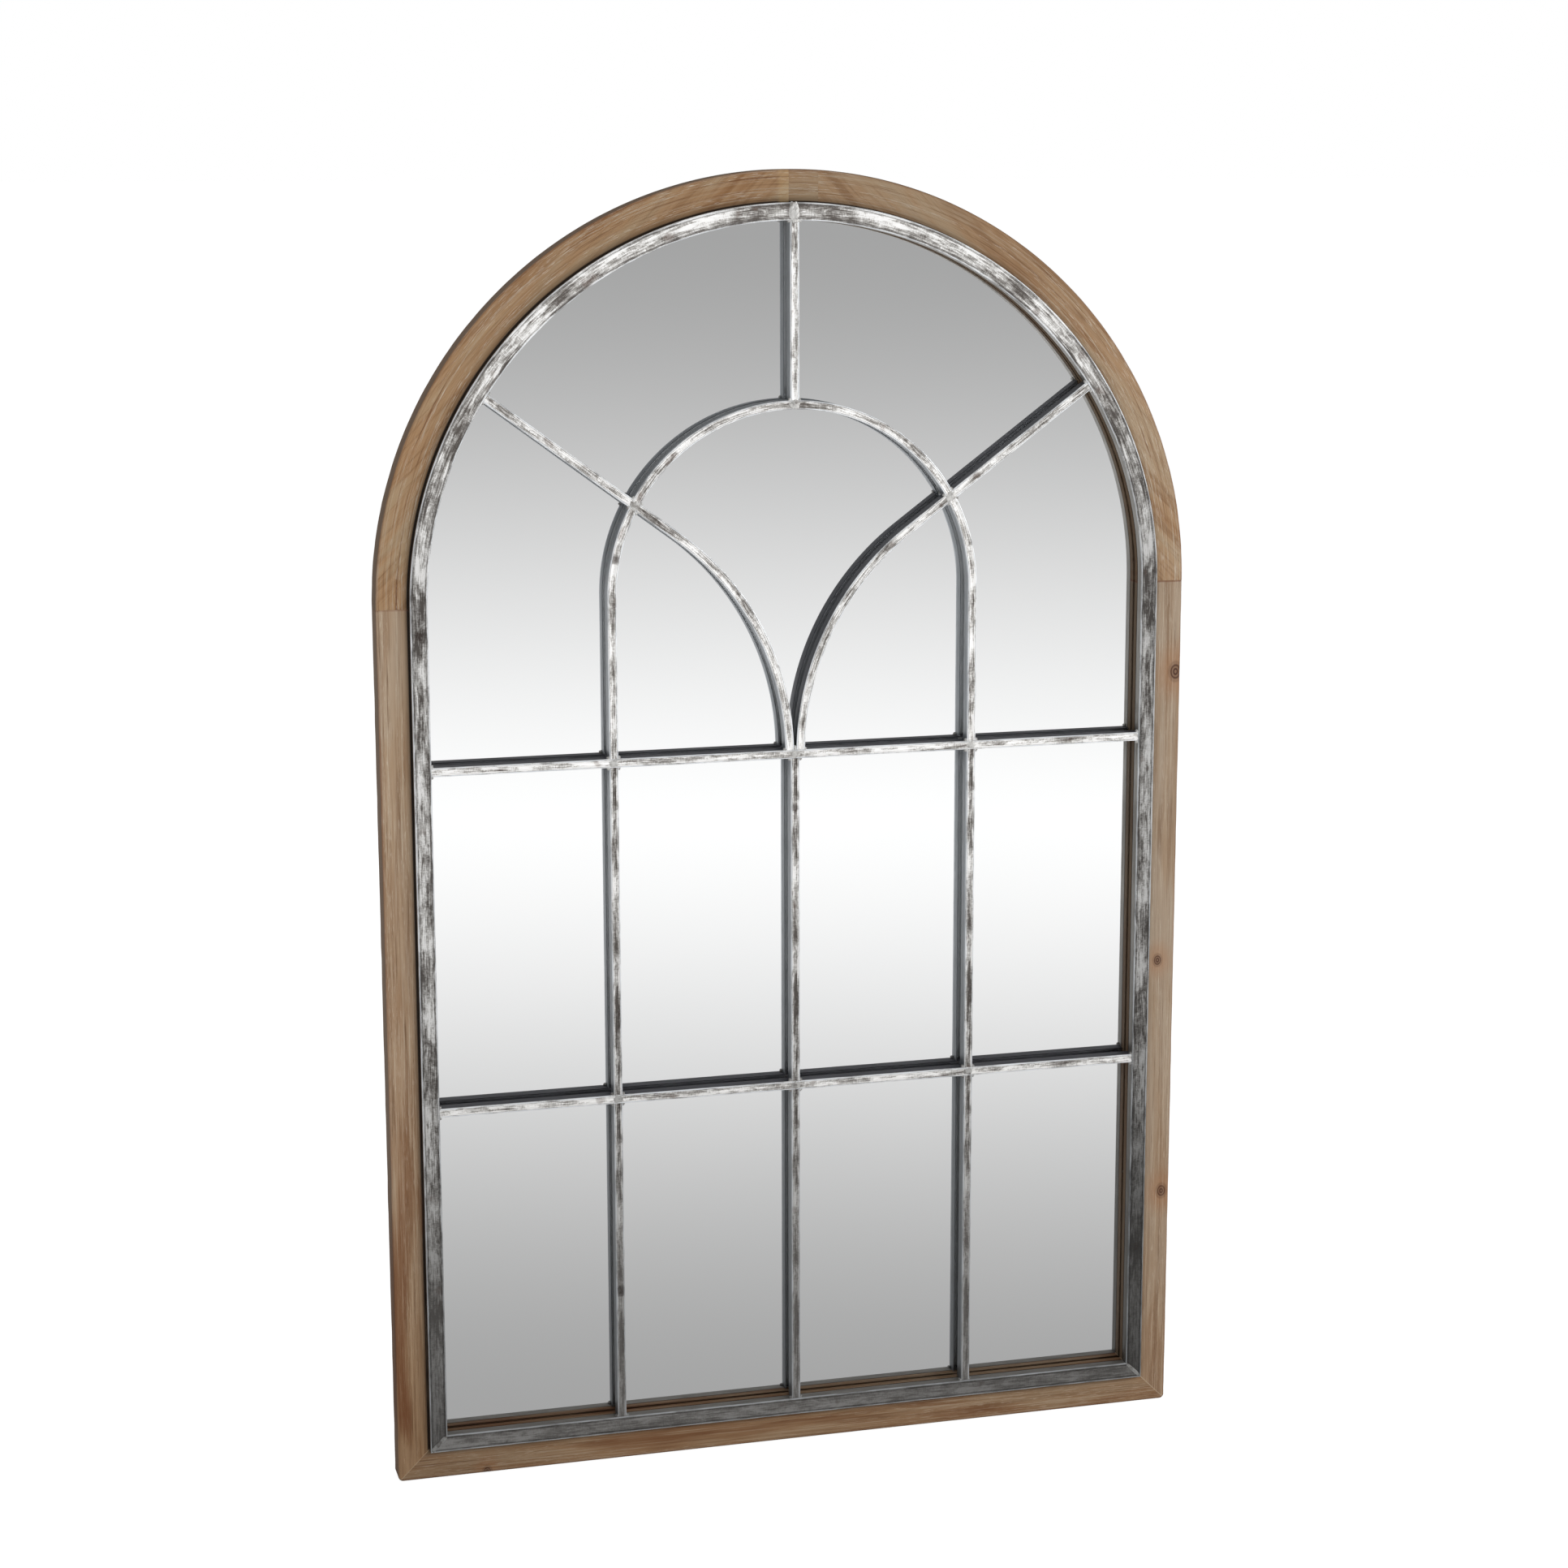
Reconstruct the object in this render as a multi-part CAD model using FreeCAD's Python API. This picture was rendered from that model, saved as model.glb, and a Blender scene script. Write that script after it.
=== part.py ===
"""Arched window mirror: a mitred pine frame with a round head, a welded steel window grille
on its face, a sheet of mirror glass in a rabbet behind it, and hanging hardware on the back.

Millimetres. +Z is up, +X is to the right of someone who looks at the mirror, and the face
looks towards -Y. The origin is the middle of the frame's bottom edge, half way through the
wood's thickness.
"""
import FreeCAD, Part
import math
import os

from FreeCAD import Vector

# ---------------------------------------------------------------- driving sizes, wooden frame
FRAME_WIDTH = 762.0              # outside width, and the diameter of the round head
SPRING_HEIGHT = 817.0            # base to the line where the straight sides turn into the arch
FRAME_FACE = 45.0                # width of every frame member, seen from the front
FRAME_THICKNESS = 24.0
FOOT_CORNER_FLAT = 7.0           # flat sanded across each outside corner at the base
FRONT_EDGE_CHAMFER = 2.0         # hand-eased outer edge at the front
BACK_EDGE_CHAMFER = 1.0
RABBET_WIDTH = 8.0               # step behind the lip that holds the glass
LIP_THICKNESS = 8.0              # wood left in front of the glass
CROWN_JOINT_X = -3.0             # left arch piece ends here, the crown key begins
CROWN_KEY_WIDTH = 27.0

# ---------------------------------------------------------------- joints inside the wood
TONGUE_THICKNESS = 4.0           # loose flat tongues, glued across every joint
TONGUE_WIDTH = 18.0
MITRE_TONGUE_LENGTH = 24.0       # from one side of a foot mitre to the other
SPRING_TONGUE_LENGTH = 44.0      # up and down across a spring joint
CROWN_TONGUE_END = 18.0          # how far the crown tongue runs into each arch piece
WOOD_JOINT_CLEARANCE = 0.05

# ---------------------------------------------------------------- mirror and backing
GLASS_THICKNESS = 3.0
GLASS_EDGE_GAP = 1.0             # between the sheet's edge and the rabbet's wall
BOARD_THICKNESS = 3.0
BOARD_EDGE_GAP = 1.0
POINT_LENGTH = 16.0              # flat steel points that hold the board
POINT_WIDTH = 9.0
POINT_THICKNESS = 0.6
POINT_BITE = 7.0                 # length of a point inside the wood
SIDE_POINT_COUNT = 4
ARCH_POINT_COUNT = 7
BASE_POINT_COUNT = 3

# ---------------------------------------------------------------- steel band round the grille
BAND_FACE = 16.0
BAND_HEIGHT = 9.5                # how far the band stands proud of the wood
BAND_WALL = 1.2
BAND_EDGE = 0.7                  # worn edge of the band's face
TAB_LENGTH = 14.0                # fixing tabs welded in the band's open back
TAB_THICKNESS = 1.6
SIDE_FIXING_COUNT = 2
ARCH_FIXING_COUNT = 3
BASE_FIXING_COUNT = 1
FIXING_SCREW_RADIUS = 1.5
FIXING_HEAD_RADIUS = 3.0
FIXING_HEAD_DEPTH = 1.8
FIXING_TIP = 2.0                 # screw length past the tab
SCREW_HOLE_CLEARANCE = 0.05
SCREW_SIDES = 8                  # flats round every screw

# ---------------------------------------------------------------- grille bars
BAR_WIDTH = 8.2
BAR_DEPTH = 12.5
BAR_WALL = 1.0
BAR_SETBACK = 0.8                # bar faces lie this far behind the band's face
BAR_EDGE = 0.7
GROOVE_WIDTH = 2.4               # flat bottom of the groove along each bar's face
GROOVE_DEPTH = 0.7
LEG_SPACING = 340.0              # centre to centre, also the inner arch's diameter
INNER_SPRING_RISE = 3.0          # the inner arch springs this far above the frame's spring line
UPPER_CROSSBAR_HEIGHT = 671.0
LOWER_CROSSBAR_HEIGHT = 355.5
RAY_SLOPE = 36.5                 # degrees above level
RAY_CROSSING = 29.4              # degrees up the inner arch where a ray meets it
FORK_FOOT_SPACING = 10.4         # centre to centre of the two fork bars on the crossbar

# ---------------------------------------------------------------- weld beads
BEAD_LEG = 2.4                   # fillet beads in the corners between bars
SEAM_WIDTH = 5.0
SEAM_HEIGHT = 0.7
CROWN_SEAM_WIDTH = 8.0

# ---------------------------------------------------------------- hanging hardware
RING_WIRE_RADIUS = 1.5
RING_WIRE_SIDES = 6              # flats round the wire
RING_HALF_WIDTH = 11.0           # to the wire's centre line
RING_STRAIGHT = 8.0              # pivot to the centre of the ring's round end
RING_CORNER = 2.6
STRAP_WIDTH = 14.0
STRAP_SHEET = 1.0                # the strap is this sheet folded double
STRAP_LENGTH = 38.0              # pivot to the strap's lower end
STRAP_END_RADIUS = 3.0
PIVOT_CLEARANCE = 0.08           # between the ring's wire and the strap's eye
RING_REST_GAP = 0.3              # ring to wood when it stands up against the frame
HANGER_DROP = 87.0               # pivot below the frame's spring line
HANGER_SCREW_SPACING = 17.0
HANGER_SCREW_TOP = 11.5          # pivot to the upper screw
HANGER_SCREW_RADIUS = 1.75
HANGER_SCREW_BITE = 13.0
HANGER_HEAD_RADIUS = 3.2
HANGER_HEAD_TOP_RADIUS = 2.5
HANGER_HEAD_HEIGHT = 1.9
BUMPER_RADIUS = 5.5
BUMPER_TOP_RADIUS = 4.6
BUMPER_HEIGHT = 5.5
BUMPER_SIDES = 16
BUMPER_BASE_INSET = 22.0         # from the frame's side and base
BUMPER_ARCH_ANGLE = 52.0

# ---------------------------------------------------------------- places worked out from them
HALF_WIDTH = FRAME_WIDTH / 2
WOOD_FRONT = -FRAME_THICKNESS / 2
WOOD_BACK = FRAME_THICKNESS / 2
LIP_BACK = WOOD_FRONT + LIP_THICKNESS
GLASS_BACK = LIP_BACK + GLASS_THICKNESS
BOARD_BACK = GLASS_BACK + BOARD_THICKNESS
BAND_FRONT = WOOD_FRONT - BAND_HEIGHT
BAR_FRONT = BAND_FRONT + BAR_SETBACK
RABBET_INSET = FRAME_FACE - RABBET_WIDTH
BODY_INSET = RABBET_INSET / 2            # middle of the full-thickness wood
BAND_INSET = FRAME_FACE - BAND_FACE
LEG_X = LEG_SPACING / 2
HALF_BAR = BAR_WIDTH / 2
OPENING_HALF = HALF_WIDTH - FRAME_FACE
INNER_SPRING_HEIGHT = SPRING_HEIGHT + INNER_SPRING_RISE
HANGER_HEIGHT = SPRING_HEIGHT - HANGER_DROP
FAR = 4 * (FRAME_WIDTH + SPRING_HEIGHT)  # longer than anything in the model


def extrude(face, y0, y1):
    """Move a face drawn at y = 0 to y0 and extrude it to y1."""
    placed = face.copy()
    placed.translate(Vector(0, y0, 0))
    return placed.extrude(Vector(0, y1 - y0, 0))


def polygon(points):
    """Closed face through (x, z) points at y = 0."""
    corners = [Vector(x, 0, z) for x, z in points]
    return Part.Face(Part.makePolygon(corners + corners[:1]))


def many_sided(stations, sides):
    """Solid through regular polygons about the Y axis, one for each (radius, y) station."""
    turns = [2 * math.pi * (n + 0.5) / sides for n in range(sides + 1)]
    rims = [[Vector(radius * math.cos(turn), y, radius * math.sin(turn)) for turn in turns]
            for radius, y in stations]
    faces = [Part.Face(Part.makePolygon(rim)) for rim in (rims[0], rims[-1])]
    for low, high in zip(rims, rims[1:]):
        for n in range(sides):
            quad = [low[n], low[n + 1], high[n + 1], high[n], low[n]]
            faces.append(Part.Face(Part.makePolygon(quad)))
    return Part.makeSolid(Part.makeShell(faces))


def arched_face(half_width, spring, base):
    """Round-headed outline: a half circle on two straight sides and a base."""
    left = Vector(-half_width, 0, spring)
    right = Vector(half_width, 0, spring)
    head = Part.Arc(left, Vector(0, 0, spring + half_width), right).toShape()
    sides = Part.makePolygon([right, Vector(half_width, 0, base), Vector(-half_width, 0, base), left])
    return Part.Face(Part.Wire([head] + sides.Edges))


def window_prism(inset, y0, y1):
    """Solid of the frame's outline moved in by inset, between two depths."""
    return extrude(arched_face(HALF_WIDTH - inset, SPRING_HEIGHT, inset), y0, y1)


def window_ring(outer_inset, inner_inset, y0, y1):
    """Round-headed ring between two insets from the frame's outline."""
    return window_prism(outer_inset, y0, y1).cut(window_prism(inner_inset, y0 - 1, y1 + 1))


def joined(shapes):
    """Group of separate solids that share one node."""
    return Part.makeCompound(shapes)


def mirrored(shape):
    """The same piece on the other side of the centre line."""
    return shape.mirror(Vector(0, 0, 0), Vector(1, 0, 0))


def largest(shape):
    """The piece's one solid, without any empty compound round it."""
    return max(shape.Solids, key=lambda solid: solid.Volume)


def placed(shape, x, z, direction):
    """Turn a piece whose outward side is +X to a direction in the face's plane, and move it."""
    moved = shape.copy()
    moved.rotate(Vector(0, 0, 0), Vector(0, 1, 0), -direction)
    moved.translate(Vector(x, 0, z))
    return moved


def around_frame(inset, per_side, on_arch, on_base):
    """Evenly spread places along the frame at one inset, as (x, z, outward direction)."""
    half = HALF_WIDTH - inset
    places = []
    for n in range(per_side):
        height = inset + (SPRING_HEIGHT - inset) * (n + 0.5) / per_side
        places += [(half, height, 0.0), (-half, height, 180.0)]
    for n in range(on_arch):
        turn = 180.0 * (n + 0.5) / on_arch
        angle = math.radians(turn)
        places.append((half * math.cos(angle), SPRING_HEIGHT + half * math.sin(angle), turn))
    for n in range(on_base):
        places.append((half * (2 * (n + 0.5) / on_base - 1), inset, 270.0))
    return places


# ---------------------------------------------------------------- regions that split a ring
def side_region():
    """Everything right of the centre line between the mitre and the arch."""
    heel = HALF_WIDTH
    return extrude(polygon([(0, heel), (FAR, heel - FAR), (FAR, SPRING_HEIGHT), (0, SPRING_HEIGHT)]),
                   -FAR, FAR)


def base_region():
    """Everything below the two foot mitres."""
    return extrude(polygon([(0, HALF_WIDTH), (FAR, HALF_WIDTH - FAR), (-FAR, HALF_WIDTH - FAR)]),
                   -FAR, FAR)


def arch_region(x0, x1):
    """Everything above the spring line between two upright planes."""
    return extrude(polygon([(x0, SPRING_HEIGHT), (x1, SPRING_HEIGHT), (x1, FAR), (x0, FAR)]),
                   -FAR, FAR)


# ---------------------------------------------------------------- wooden frame
def frame_blank():
    """The whole frame as one ring: eased edges, sight opening and rabbet for the glass."""
    outside = window_prism(0.0, WOOD_FRONT, WOOD_BACK)
    corners = [e for e in outside.Edges if e.BoundBox.YLength > FRAME_THICKNESS / 2
               and e.BoundBox.ZMax < SPRING_HEIGHT / 2]
    outside = outside.makeChamfer(FOOT_CORNER_FLAT, corners)
    front = [e for e in outside.Edges if abs(e.BoundBox.YMax - WOOD_FRONT) < 1e-6]
    outside = outside.makeChamfer(FRONT_EDGE_CHAMFER, front)
    back = [e for e in outside.Edges if abs(e.BoundBox.YMin - WOOD_BACK) < 1e-6]
    outside = outside.makeChamfer(BACK_EDGE_CHAMFER, back)
    blank = outside.cut(window_prism(FRAME_FACE, WOOD_FRONT - 1, WOOD_BACK + 1))
    return blank.cut(window_prism(RABBET_INSET, LIP_BACK, WOOD_BACK + 1))


def tongue(length, clearance):
    """Loose tongue that lies in the plane of the frame, its length along X, about the origin."""
    size = [side + 2 * clearance for side in (length, TONGUE_THICKNESS, TONGUE_WIDTH)]
    return Part.makeBox(*size, Vector(*[-side / 2 for side in size]))


def mitre_tongue(clearance=0.0):
    """Tongue across the right foot mitre."""
    return placed(tongue(MITRE_TONGUE_LENGTH, clearance), HALF_WIDTH - BODY_INSET, BODY_INSET, 45.0)


def spring_tongue(clearance=0.0):
    """Tongue across the joint between the right stile and the arch."""
    return placed(tongue(SPRING_TONGUE_LENGTH, clearance), HALF_WIDTH - BODY_INSET, SPRING_HEIGHT, 90.0)


def crown_tongue(clearance=0.0):
    """Tongue that runs from one arch piece through the crown key into the other."""
    return placed(tongue(CROWN_KEY_WIDTH + 2 * CROWN_TONGUE_END, clearance),
                  CROWN_JOINT_X + CROWN_KEY_WIDTH / 2, SPRING_HEIGHT + HALF_WIDTH - BODY_INSET, 0.0)


def wood_cutters():
    """Everything that is let into the wood, with its clearance."""
    gap = WOOD_JOINT_CLEARANCE
    cutters = [mitre_tongue(gap), mirrored(mitre_tongue(gap)), crown_tongue(gap),
               spring_tongue(gap), mirrored(spring_tongue(gap))]
    cutters += retaining_points(gap)
    cutters += fixing_screws(SCREW_HOLE_CLEARANCE)
    cutters += hanger_screws(SCREW_HOLE_CLEARANCE)
    return cutters


def wooden_frame():
    """The six pieces of wood, cut from the ring at their glue lines."""
    ring = frame_blank().cut(wood_cutters())
    key_end = CROWN_JOINT_X + CROWN_KEY_WIDTH
    stile = ring.common(side_region())
    return {
        "right_stile": largest(stile),
        "left_stile": largest(ring.common(mirrored(side_region()))),
        "bottom_rail": largest(ring.common(base_region())),
        "left_arch": largest(ring.common(arch_region(-FAR, CROWN_JOINT_X))),
        "crown_key": largest(ring.common(arch_region(CROWN_JOINT_X, key_end))),
        "right_arch": largest(ring.common(arch_region(key_end, FAR))),
    }


# ---------------------------------------------------------------- mirror, board and points
def mirror_glass():
    """Sheet of mirror glass that lies against the back of the lip."""
    return window_prism(RABBET_INSET + GLASS_EDGE_GAP, LIP_BACK, GLASS_BACK)


def backing_board():
    """Thin board behind the glass."""
    return window_prism(RABBET_INSET + BOARD_EDGE_GAP, GLASS_BACK, BOARD_BACK)


def retaining_points(clearance=0.0):
    """Flat steel points driven into the rabbet's wall over the board's edge."""
    half = POINT_WIDTH / 2 + clearance
    tip = POINT_BITE + clearance
    shoulder = POINT_BITE / 2
    tail = POINT_BITE - POINT_LENGTH
    outline = [(tail, -half), (shoulder, -half), (tip, 0), (shoulder, half), (tail, half)]
    point = extrude(polygon(outline), BOARD_BACK, BOARD_BACK + POINT_THICKNESS + clearance)
    places = around_frame(RABBET_INSET, SIDE_POINT_COUNT, ARCH_POINT_COUNT, BASE_POINT_COUNT)
    return [placed(point, x, z, turn) for x, z, turn in places]


# ---------------------------------------------------------------- steel band
def band_ring():
    """Channel section that runs all round, open towards the wood, with worn face edges."""
    ring = window_ring(BAND_INSET, FRAME_FACE, BAND_FRONT, WOOD_FRONT)
    face_edges = [e for e in ring.Edges if abs(e.BoundBox.YMax - BAND_FRONT) < 1e-6]
    ring = ring.makeChamfer(BAND_EDGE, face_edges)
    return ring.cut(band_hollow(BAND_FRONT + BAND_WALL, WOOD_FRONT + 1))


def band_hollow(y0, y1):
    """The space inside the channel between two depths."""
    return window_ring(BAND_INSET + BAND_WALL, FRAME_FACE - BAND_WALL, y0, y1)


def steel_band():
    """The band's five lengths: two bent heads, two sides and the base, mitred at the foot."""
    ring = band_ring()
    return {
        "right_side_band": largest(ring.common(side_region())),
        "left_side_band": largest(ring.common(mirrored(side_region()))),
        "bottom_band": largest(ring.common(base_region())),
        "left_arch_band": largest(ring.common(arch_region(-FAR, 0.0))),
        "right_arch_band": largest(ring.common(arch_region(0.0, FAR))),
    }


def fixing_places():
    """Where screws come through the lip of the wood into the band's tabs."""
    return around_frame(FRAME_FACE - RABBET_WIDTH / 2, SIDE_FIXING_COUNT, ARCH_FIXING_COUNT,
                        BASE_FIXING_COUNT)


def fixing_tabs():
    """Short plates across the band's open back, each with a hole for its screw."""
    hollow = band_hollow(WOOD_FRONT - TAB_THICKNESS, WOOD_FRONT)
    block = Part.makeBox(4 * BAND_FACE, FRAME_THICKNESS, TAB_LENGTH,
                         Vector(-2 * BAND_FACE, WOOD_FRONT - FRAME_THICKNESS / 2, -TAB_LENGTH / 2))
    tabs = [hollow.common(placed(block, x, z, turn)) for x, z, turn in fixing_places()]
    return [largest(tab.cut(fixing_screws(SCREW_HOLE_CLEARANCE))) for tab in tabs]


def fixing_screws(clearance=0.0):
    """Countersunk screws, driven forward from the floor of the rabbet."""
    shank = FIXING_SCREW_RADIUS + clearance
    tip = WOOD_FRONT - TAB_THICKNESS - FIXING_TIP - clearance
    screw = many_sided([(shank, tip), (shank, LIP_BACK - FIXING_HEAD_DEPTH),
                        (FIXING_HEAD_RADIUS + clearance, LIP_BACK)], SCREW_SIDES)
    return [placed(screw, x, z, turn) for x, z, turn in fixing_places()]


# ---------------------------------------------------------------- grille bars
def bar_outline():
    """Section of every bar, across and in depth: a channel with a groove along its face."""
    rim = GROOVE_WIDTH / 2 + GROOVE_DEPTH
    inside = HALF_BAR - BAR_WALL
    web = GROOVE_DEPTH + BAR_WALL
    right = [(GROOVE_WIDTH / 2, GROOVE_DEPTH), (rim, 0), (HALF_BAR - BAR_EDGE, 0),
             (HALF_BAR, BAR_EDGE), (HALF_BAR, BAR_DEPTH), (inside, BAR_DEPTH), (inside, web)]
    left = [(-across, depth) for across, depth in reversed(right)]
    return right + left


def straight_bar(start, end):
    """Bar along a straight run between two (x, z) points."""
    run = Vector(end[0] - start[0], 0, end[1] - start[1])
    length = run.Length
    corners = [Vector(across, BAR_FRONT + depth, 0) for across, depth in bar_outline()]
    bar = Part.Face(Part.makePolygon(corners + corners[:1])).extrude(Vector(0, 0, length))
    bar.rotate(Vector(0, 0, 0), Vector(0, 1, 0), math.degrees(math.atan2(run.x, run.z)))
    bar.translate(Vector(start[0], 0, start[1]))
    return bar


def bent_bar(centre, radius, start_angle, sweep):
    """Bar bent to a circle about a (x, z) centre, from one angle through a sweep, in degrees."""
    corners = [Vector(radius + across, BAR_FRONT + depth, 0) for across, depth in bar_outline()]
    section = Part.Face(Part.makePolygon(corners + corners[:1]))
    bar = section.revolve(Vector(0, 0, 0), Vector(0, 1, 0), -sweep)
    bar.rotate(Vector(0, 0, 0), Vector(0, 1, 0), -start_angle)
    bar.translate(Vector(centre[0], 0, centre[1]))
    return bar


def opening():
    """The sight opening inside the band, where all bars end."""
    return window_prism(FRAME_FACE, -FAR, FAR)


def inner_window(half_width):
    """Round-headed region about the inner arch's centre, standing on the upper crossbar."""
    top_of_crossbar = UPPER_CROSSBAR_HEIGHT + HALF_BAR
    return extrude(arched_face(half_width, INNER_SPRING_HEIGHT, top_of_crossbar), -FAR, FAR)


def ray_crossing():
    """Point on the right side of the inner arch's centre line where the ray meets it."""
    angle = math.radians(RAY_CROSSING)
    return LEG_X * math.cos(angle), INNER_SPRING_HEIGHT + LEG_X * math.sin(angle)


def fork_radius():
    """Radius that leaves the crossbar upright and runs smoothly into the ray's line."""
    slope = math.radians(RAY_SLOPE)
    x, z = ray_crossing()
    across = x - FORK_FOOT_SPACING / 2
    rise = z - UPPER_CROSSBAR_HEIGHT
    return (rise * math.cos(slope) - across * math.sin(slope)) / (1 - math.sin(slope))


def ray_bar():
    """Right ray: straight from the inner arch out to the band."""
    slope = math.radians(RAY_SLOPE)
    x, z = ray_crossing()
    bar = straight_bar((x, z), (x + HALF_WIDTH * math.cos(slope), z + HALF_WIDTH * math.sin(slope)))
    return largest(bar.common(opening()).cut(inner_window(LEG_X + HALF_BAR)))


def fork_bar():
    """Right fork bar: upright on the crossbar, bent outward, then straight on the ray's line."""
    slope = math.radians(RAY_SLOPE)
    radius = fork_radius()
    centre = (FORK_FOOT_SPACING / 2 + radius, UPPER_CROSSBAR_HEIGHT)
    bend = bent_bar(centre, radius, 90.0 + RAY_SLOPE, 90.0 - RAY_SLOPE)
    start = (centre[0] - radius * math.sin(slope), centre[1] + radius * math.cos(slope))
    run = LEG_SPACING
    straight = straight_bar(start, (start[0] + run * math.cos(slope), start[1] + run * math.sin(slope)))
    return largest(bend.fuse(straight).removeSplitter().common(inner_window(LEG_X - HALF_BAR)))


def crown_bar():
    """Upright bar from the inner arch to the crown of the band."""
    top = SPRING_HEIGHT + HALF_WIDTH
    bar = straight_bar((0, INNER_SPRING_HEIGHT), (0, top))
    return largest(bar.common(opening()).cut(inner_window(LEG_X + HALF_BAR)))


def crossbar(height):
    """Level bar right across the opening."""
    return straight_bar((-OPENING_HALF, height), (OPENING_HALF, height))


def grille_bars():
    """All the bars: two run right across, the others are cut to fit between them."""
    upper_top = UPPER_CROSSBAR_HEIGHT + HALF_BAR
    upper_under = UPPER_CROSSBAR_HEIGHT - HALF_BAR
    lower_top = LOWER_CROSSBAR_HEIGHT + HALF_BAR
    lower_under = LOWER_CROSSBAR_HEIGHT - HALF_BAR
    bars = {
        "upper_crossbar": crossbar(UPPER_CROSSBAR_HEIGHT),
        "lower_crossbar": crossbar(LOWER_CROSSBAR_HEIGHT),
        "inner_arch": bent_bar((0, INNER_SPRING_HEIGHT), LEG_X, 0.0, 180.0),
        "crown_bar": crown_bar(),
        "right_ray": ray_bar(),
        "left_ray": mirrored(ray_bar()),
        "right_fork": fork_bar(),
        "left_fork": mirrored(fork_bar()),
    }
    for side, x in (("left", -LEG_X), ("right", LEG_X)):
        bars[side + "_leg"] = straight_bar((x, upper_top), (x, INNER_SPRING_HEIGHT))
    for side, x in (("left", -LEG_X), ("centre", 0.0), ("right", LEG_X)):
        bars[side + "_middle_bar"] = straight_bar((x, lower_top), (x, upper_under))
        bars[side + "_lower_bar"] = straight_bar((x, FRAME_FACE), (x, lower_under))
    return bars


# ---------------------------------------------------------------- weld beads
def corner_bead(x, z, first, second):
    """Fillet bead in the corner at (x, z) between two bars that leave it in two directions."""
    corners = [(x, z)]
    for angle in (first, second):
        turn = math.radians(angle)
        corners.append((x + BEAD_LEG * math.cos(turn), z + BEAD_LEG * math.sin(turn)))
    return extrude(polygon(corners), BAR_FRONT + BAR_EDGE, BAR_FRONT + BAR_DEPTH)


def beads_at_corners(x, z, quarters):
    """Beads in the given quarters (1 to 4, as in a graph) of an upright and a level bar's joint."""
    beads = []
    for quarter in quarters:
        across = 1 if quarter in (1, 4) else -1
        up = 1 if quarter in (1, 2) else -1
        beads.append(corner_bead(x + across * HALF_BAR, z + up * HALF_BAR,
                                 0.0 if across > 0 else 180.0, 90.0 if up > 0 else 270.0))
    return beads


def crossing_welds():
    """Beads where bar meets bar on the two crossbars."""
    beads = []
    for x in (-LEG_X, LEG_X):
        beads += beads_at_corners(x, UPPER_CROSSBAR_HEIGHT, (1, 2, 3, 4))
        beads += beads_at_corners(x, LOWER_CROSSBAR_HEIGHT, (1, 2, 3, 4))
    beads += beads_at_corners(0.0, UPPER_CROSSBAR_HEIGHT, (3, 4))
    beads += beads_at_corners(0.0, LOWER_CROSSBAR_HEIGHT, (1, 2, 3, 4))
    return joined(beads)


def tracery_welds(bars):
    """Beads of the forks' feet, the crown bar's foot and the four arms round each ray crossing."""
    foot = FORK_FOOT_SPACING / 2
    top_of_crossbar = UPPER_CROSSBAR_HEIGHT + HALF_BAR
    beads = [corner_bead(foot + HALF_BAR, top_of_crossbar, 0.0, 90.0)]
    outside = LEG_X + HALF_BAR
    lean = math.degrees(math.asin(HALF_BAR / outside))
    rise = outside * math.cos(math.radians(lean))
    beads.append(corner_bead(HALF_BAR, INNER_SPRING_HEIGHT + rise, 90.0, -lean))
    for radius, outward in ((outside, RAY_SLOPE), (LEG_X - HALF_BAR, RAY_SLOPE + 180.0)):
        for side in (1, -1):
            x, z, tangent = arch_meets_ray(radius, side)
            beads.append(corner_bead(x, z, outward, tangent))
    beads = [bead.cut([bars["inner_arch"], bars["right_fork"]]) for bead in beads]
    return joined(beads + [mirrored(bead) for bead in beads])


def arch_meets_ray(radius, side):
    """Where one edge of the ray (side 1 is the upper) cuts a circle about the inner arch's centre.

    Returns x, z and the circle's direction there, away from the ray.
    """
    slope = math.radians(RAY_SLOPE)
    x, z = ray_crossing()
    x -= side * HALF_BAR * math.sin(slope)
    z += side * HALF_BAR * math.cos(slope) - INNER_SPRING_HEIGHT
    along = x * math.cos(slope) + z * math.sin(slope)
    run = -along + math.sqrt(along ** 2 + radius ** 2 - x ** 2 - z ** 2)
    x += run * math.cos(slope)
    z += run * math.sin(slope)
    return x, z + INNER_SPRING_HEIGHT, math.degrees(math.atan2(z, x)) + side * 90.0


def bar_end_welds():
    """Beads where a level or upright bar meets the band."""
    beads = []
    for height in (UPPER_CROSSBAR_HEIGHT, LOWER_CROSSBAR_HEIGHT):
        beads.append(corner_bead(OPENING_HALF, height + HALF_BAR, 180.0, 90.0))
        beads.append(corner_bead(OPENING_HALF, height - HALF_BAR, 180.0, 270.0))
    beads.append(corner_bead(LEG_X - HALF_BAR, FRAME_FACE, 180.0, 90.0))
    beads.append(corner_bead(LEG_X + HALF_BAR, FRAME_FACE, 0.0, 90.0))
    beads.append(corner_bead(HALF_BAR, FRAME_FACE, 0.0, 90.0))
    lean = math.degrees(math.asin(HALF_BAR / OPENING_HALF))
    height = SPRING_HEIGHT + OPENING_HALF * math.cos(math.radians(lean))
    beads.append(corner_bead(HALF_BAR, height, 270.0, -lean).common(opening()))
    return joined(beads + [mirrored(bead) for bead in beads])


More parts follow.
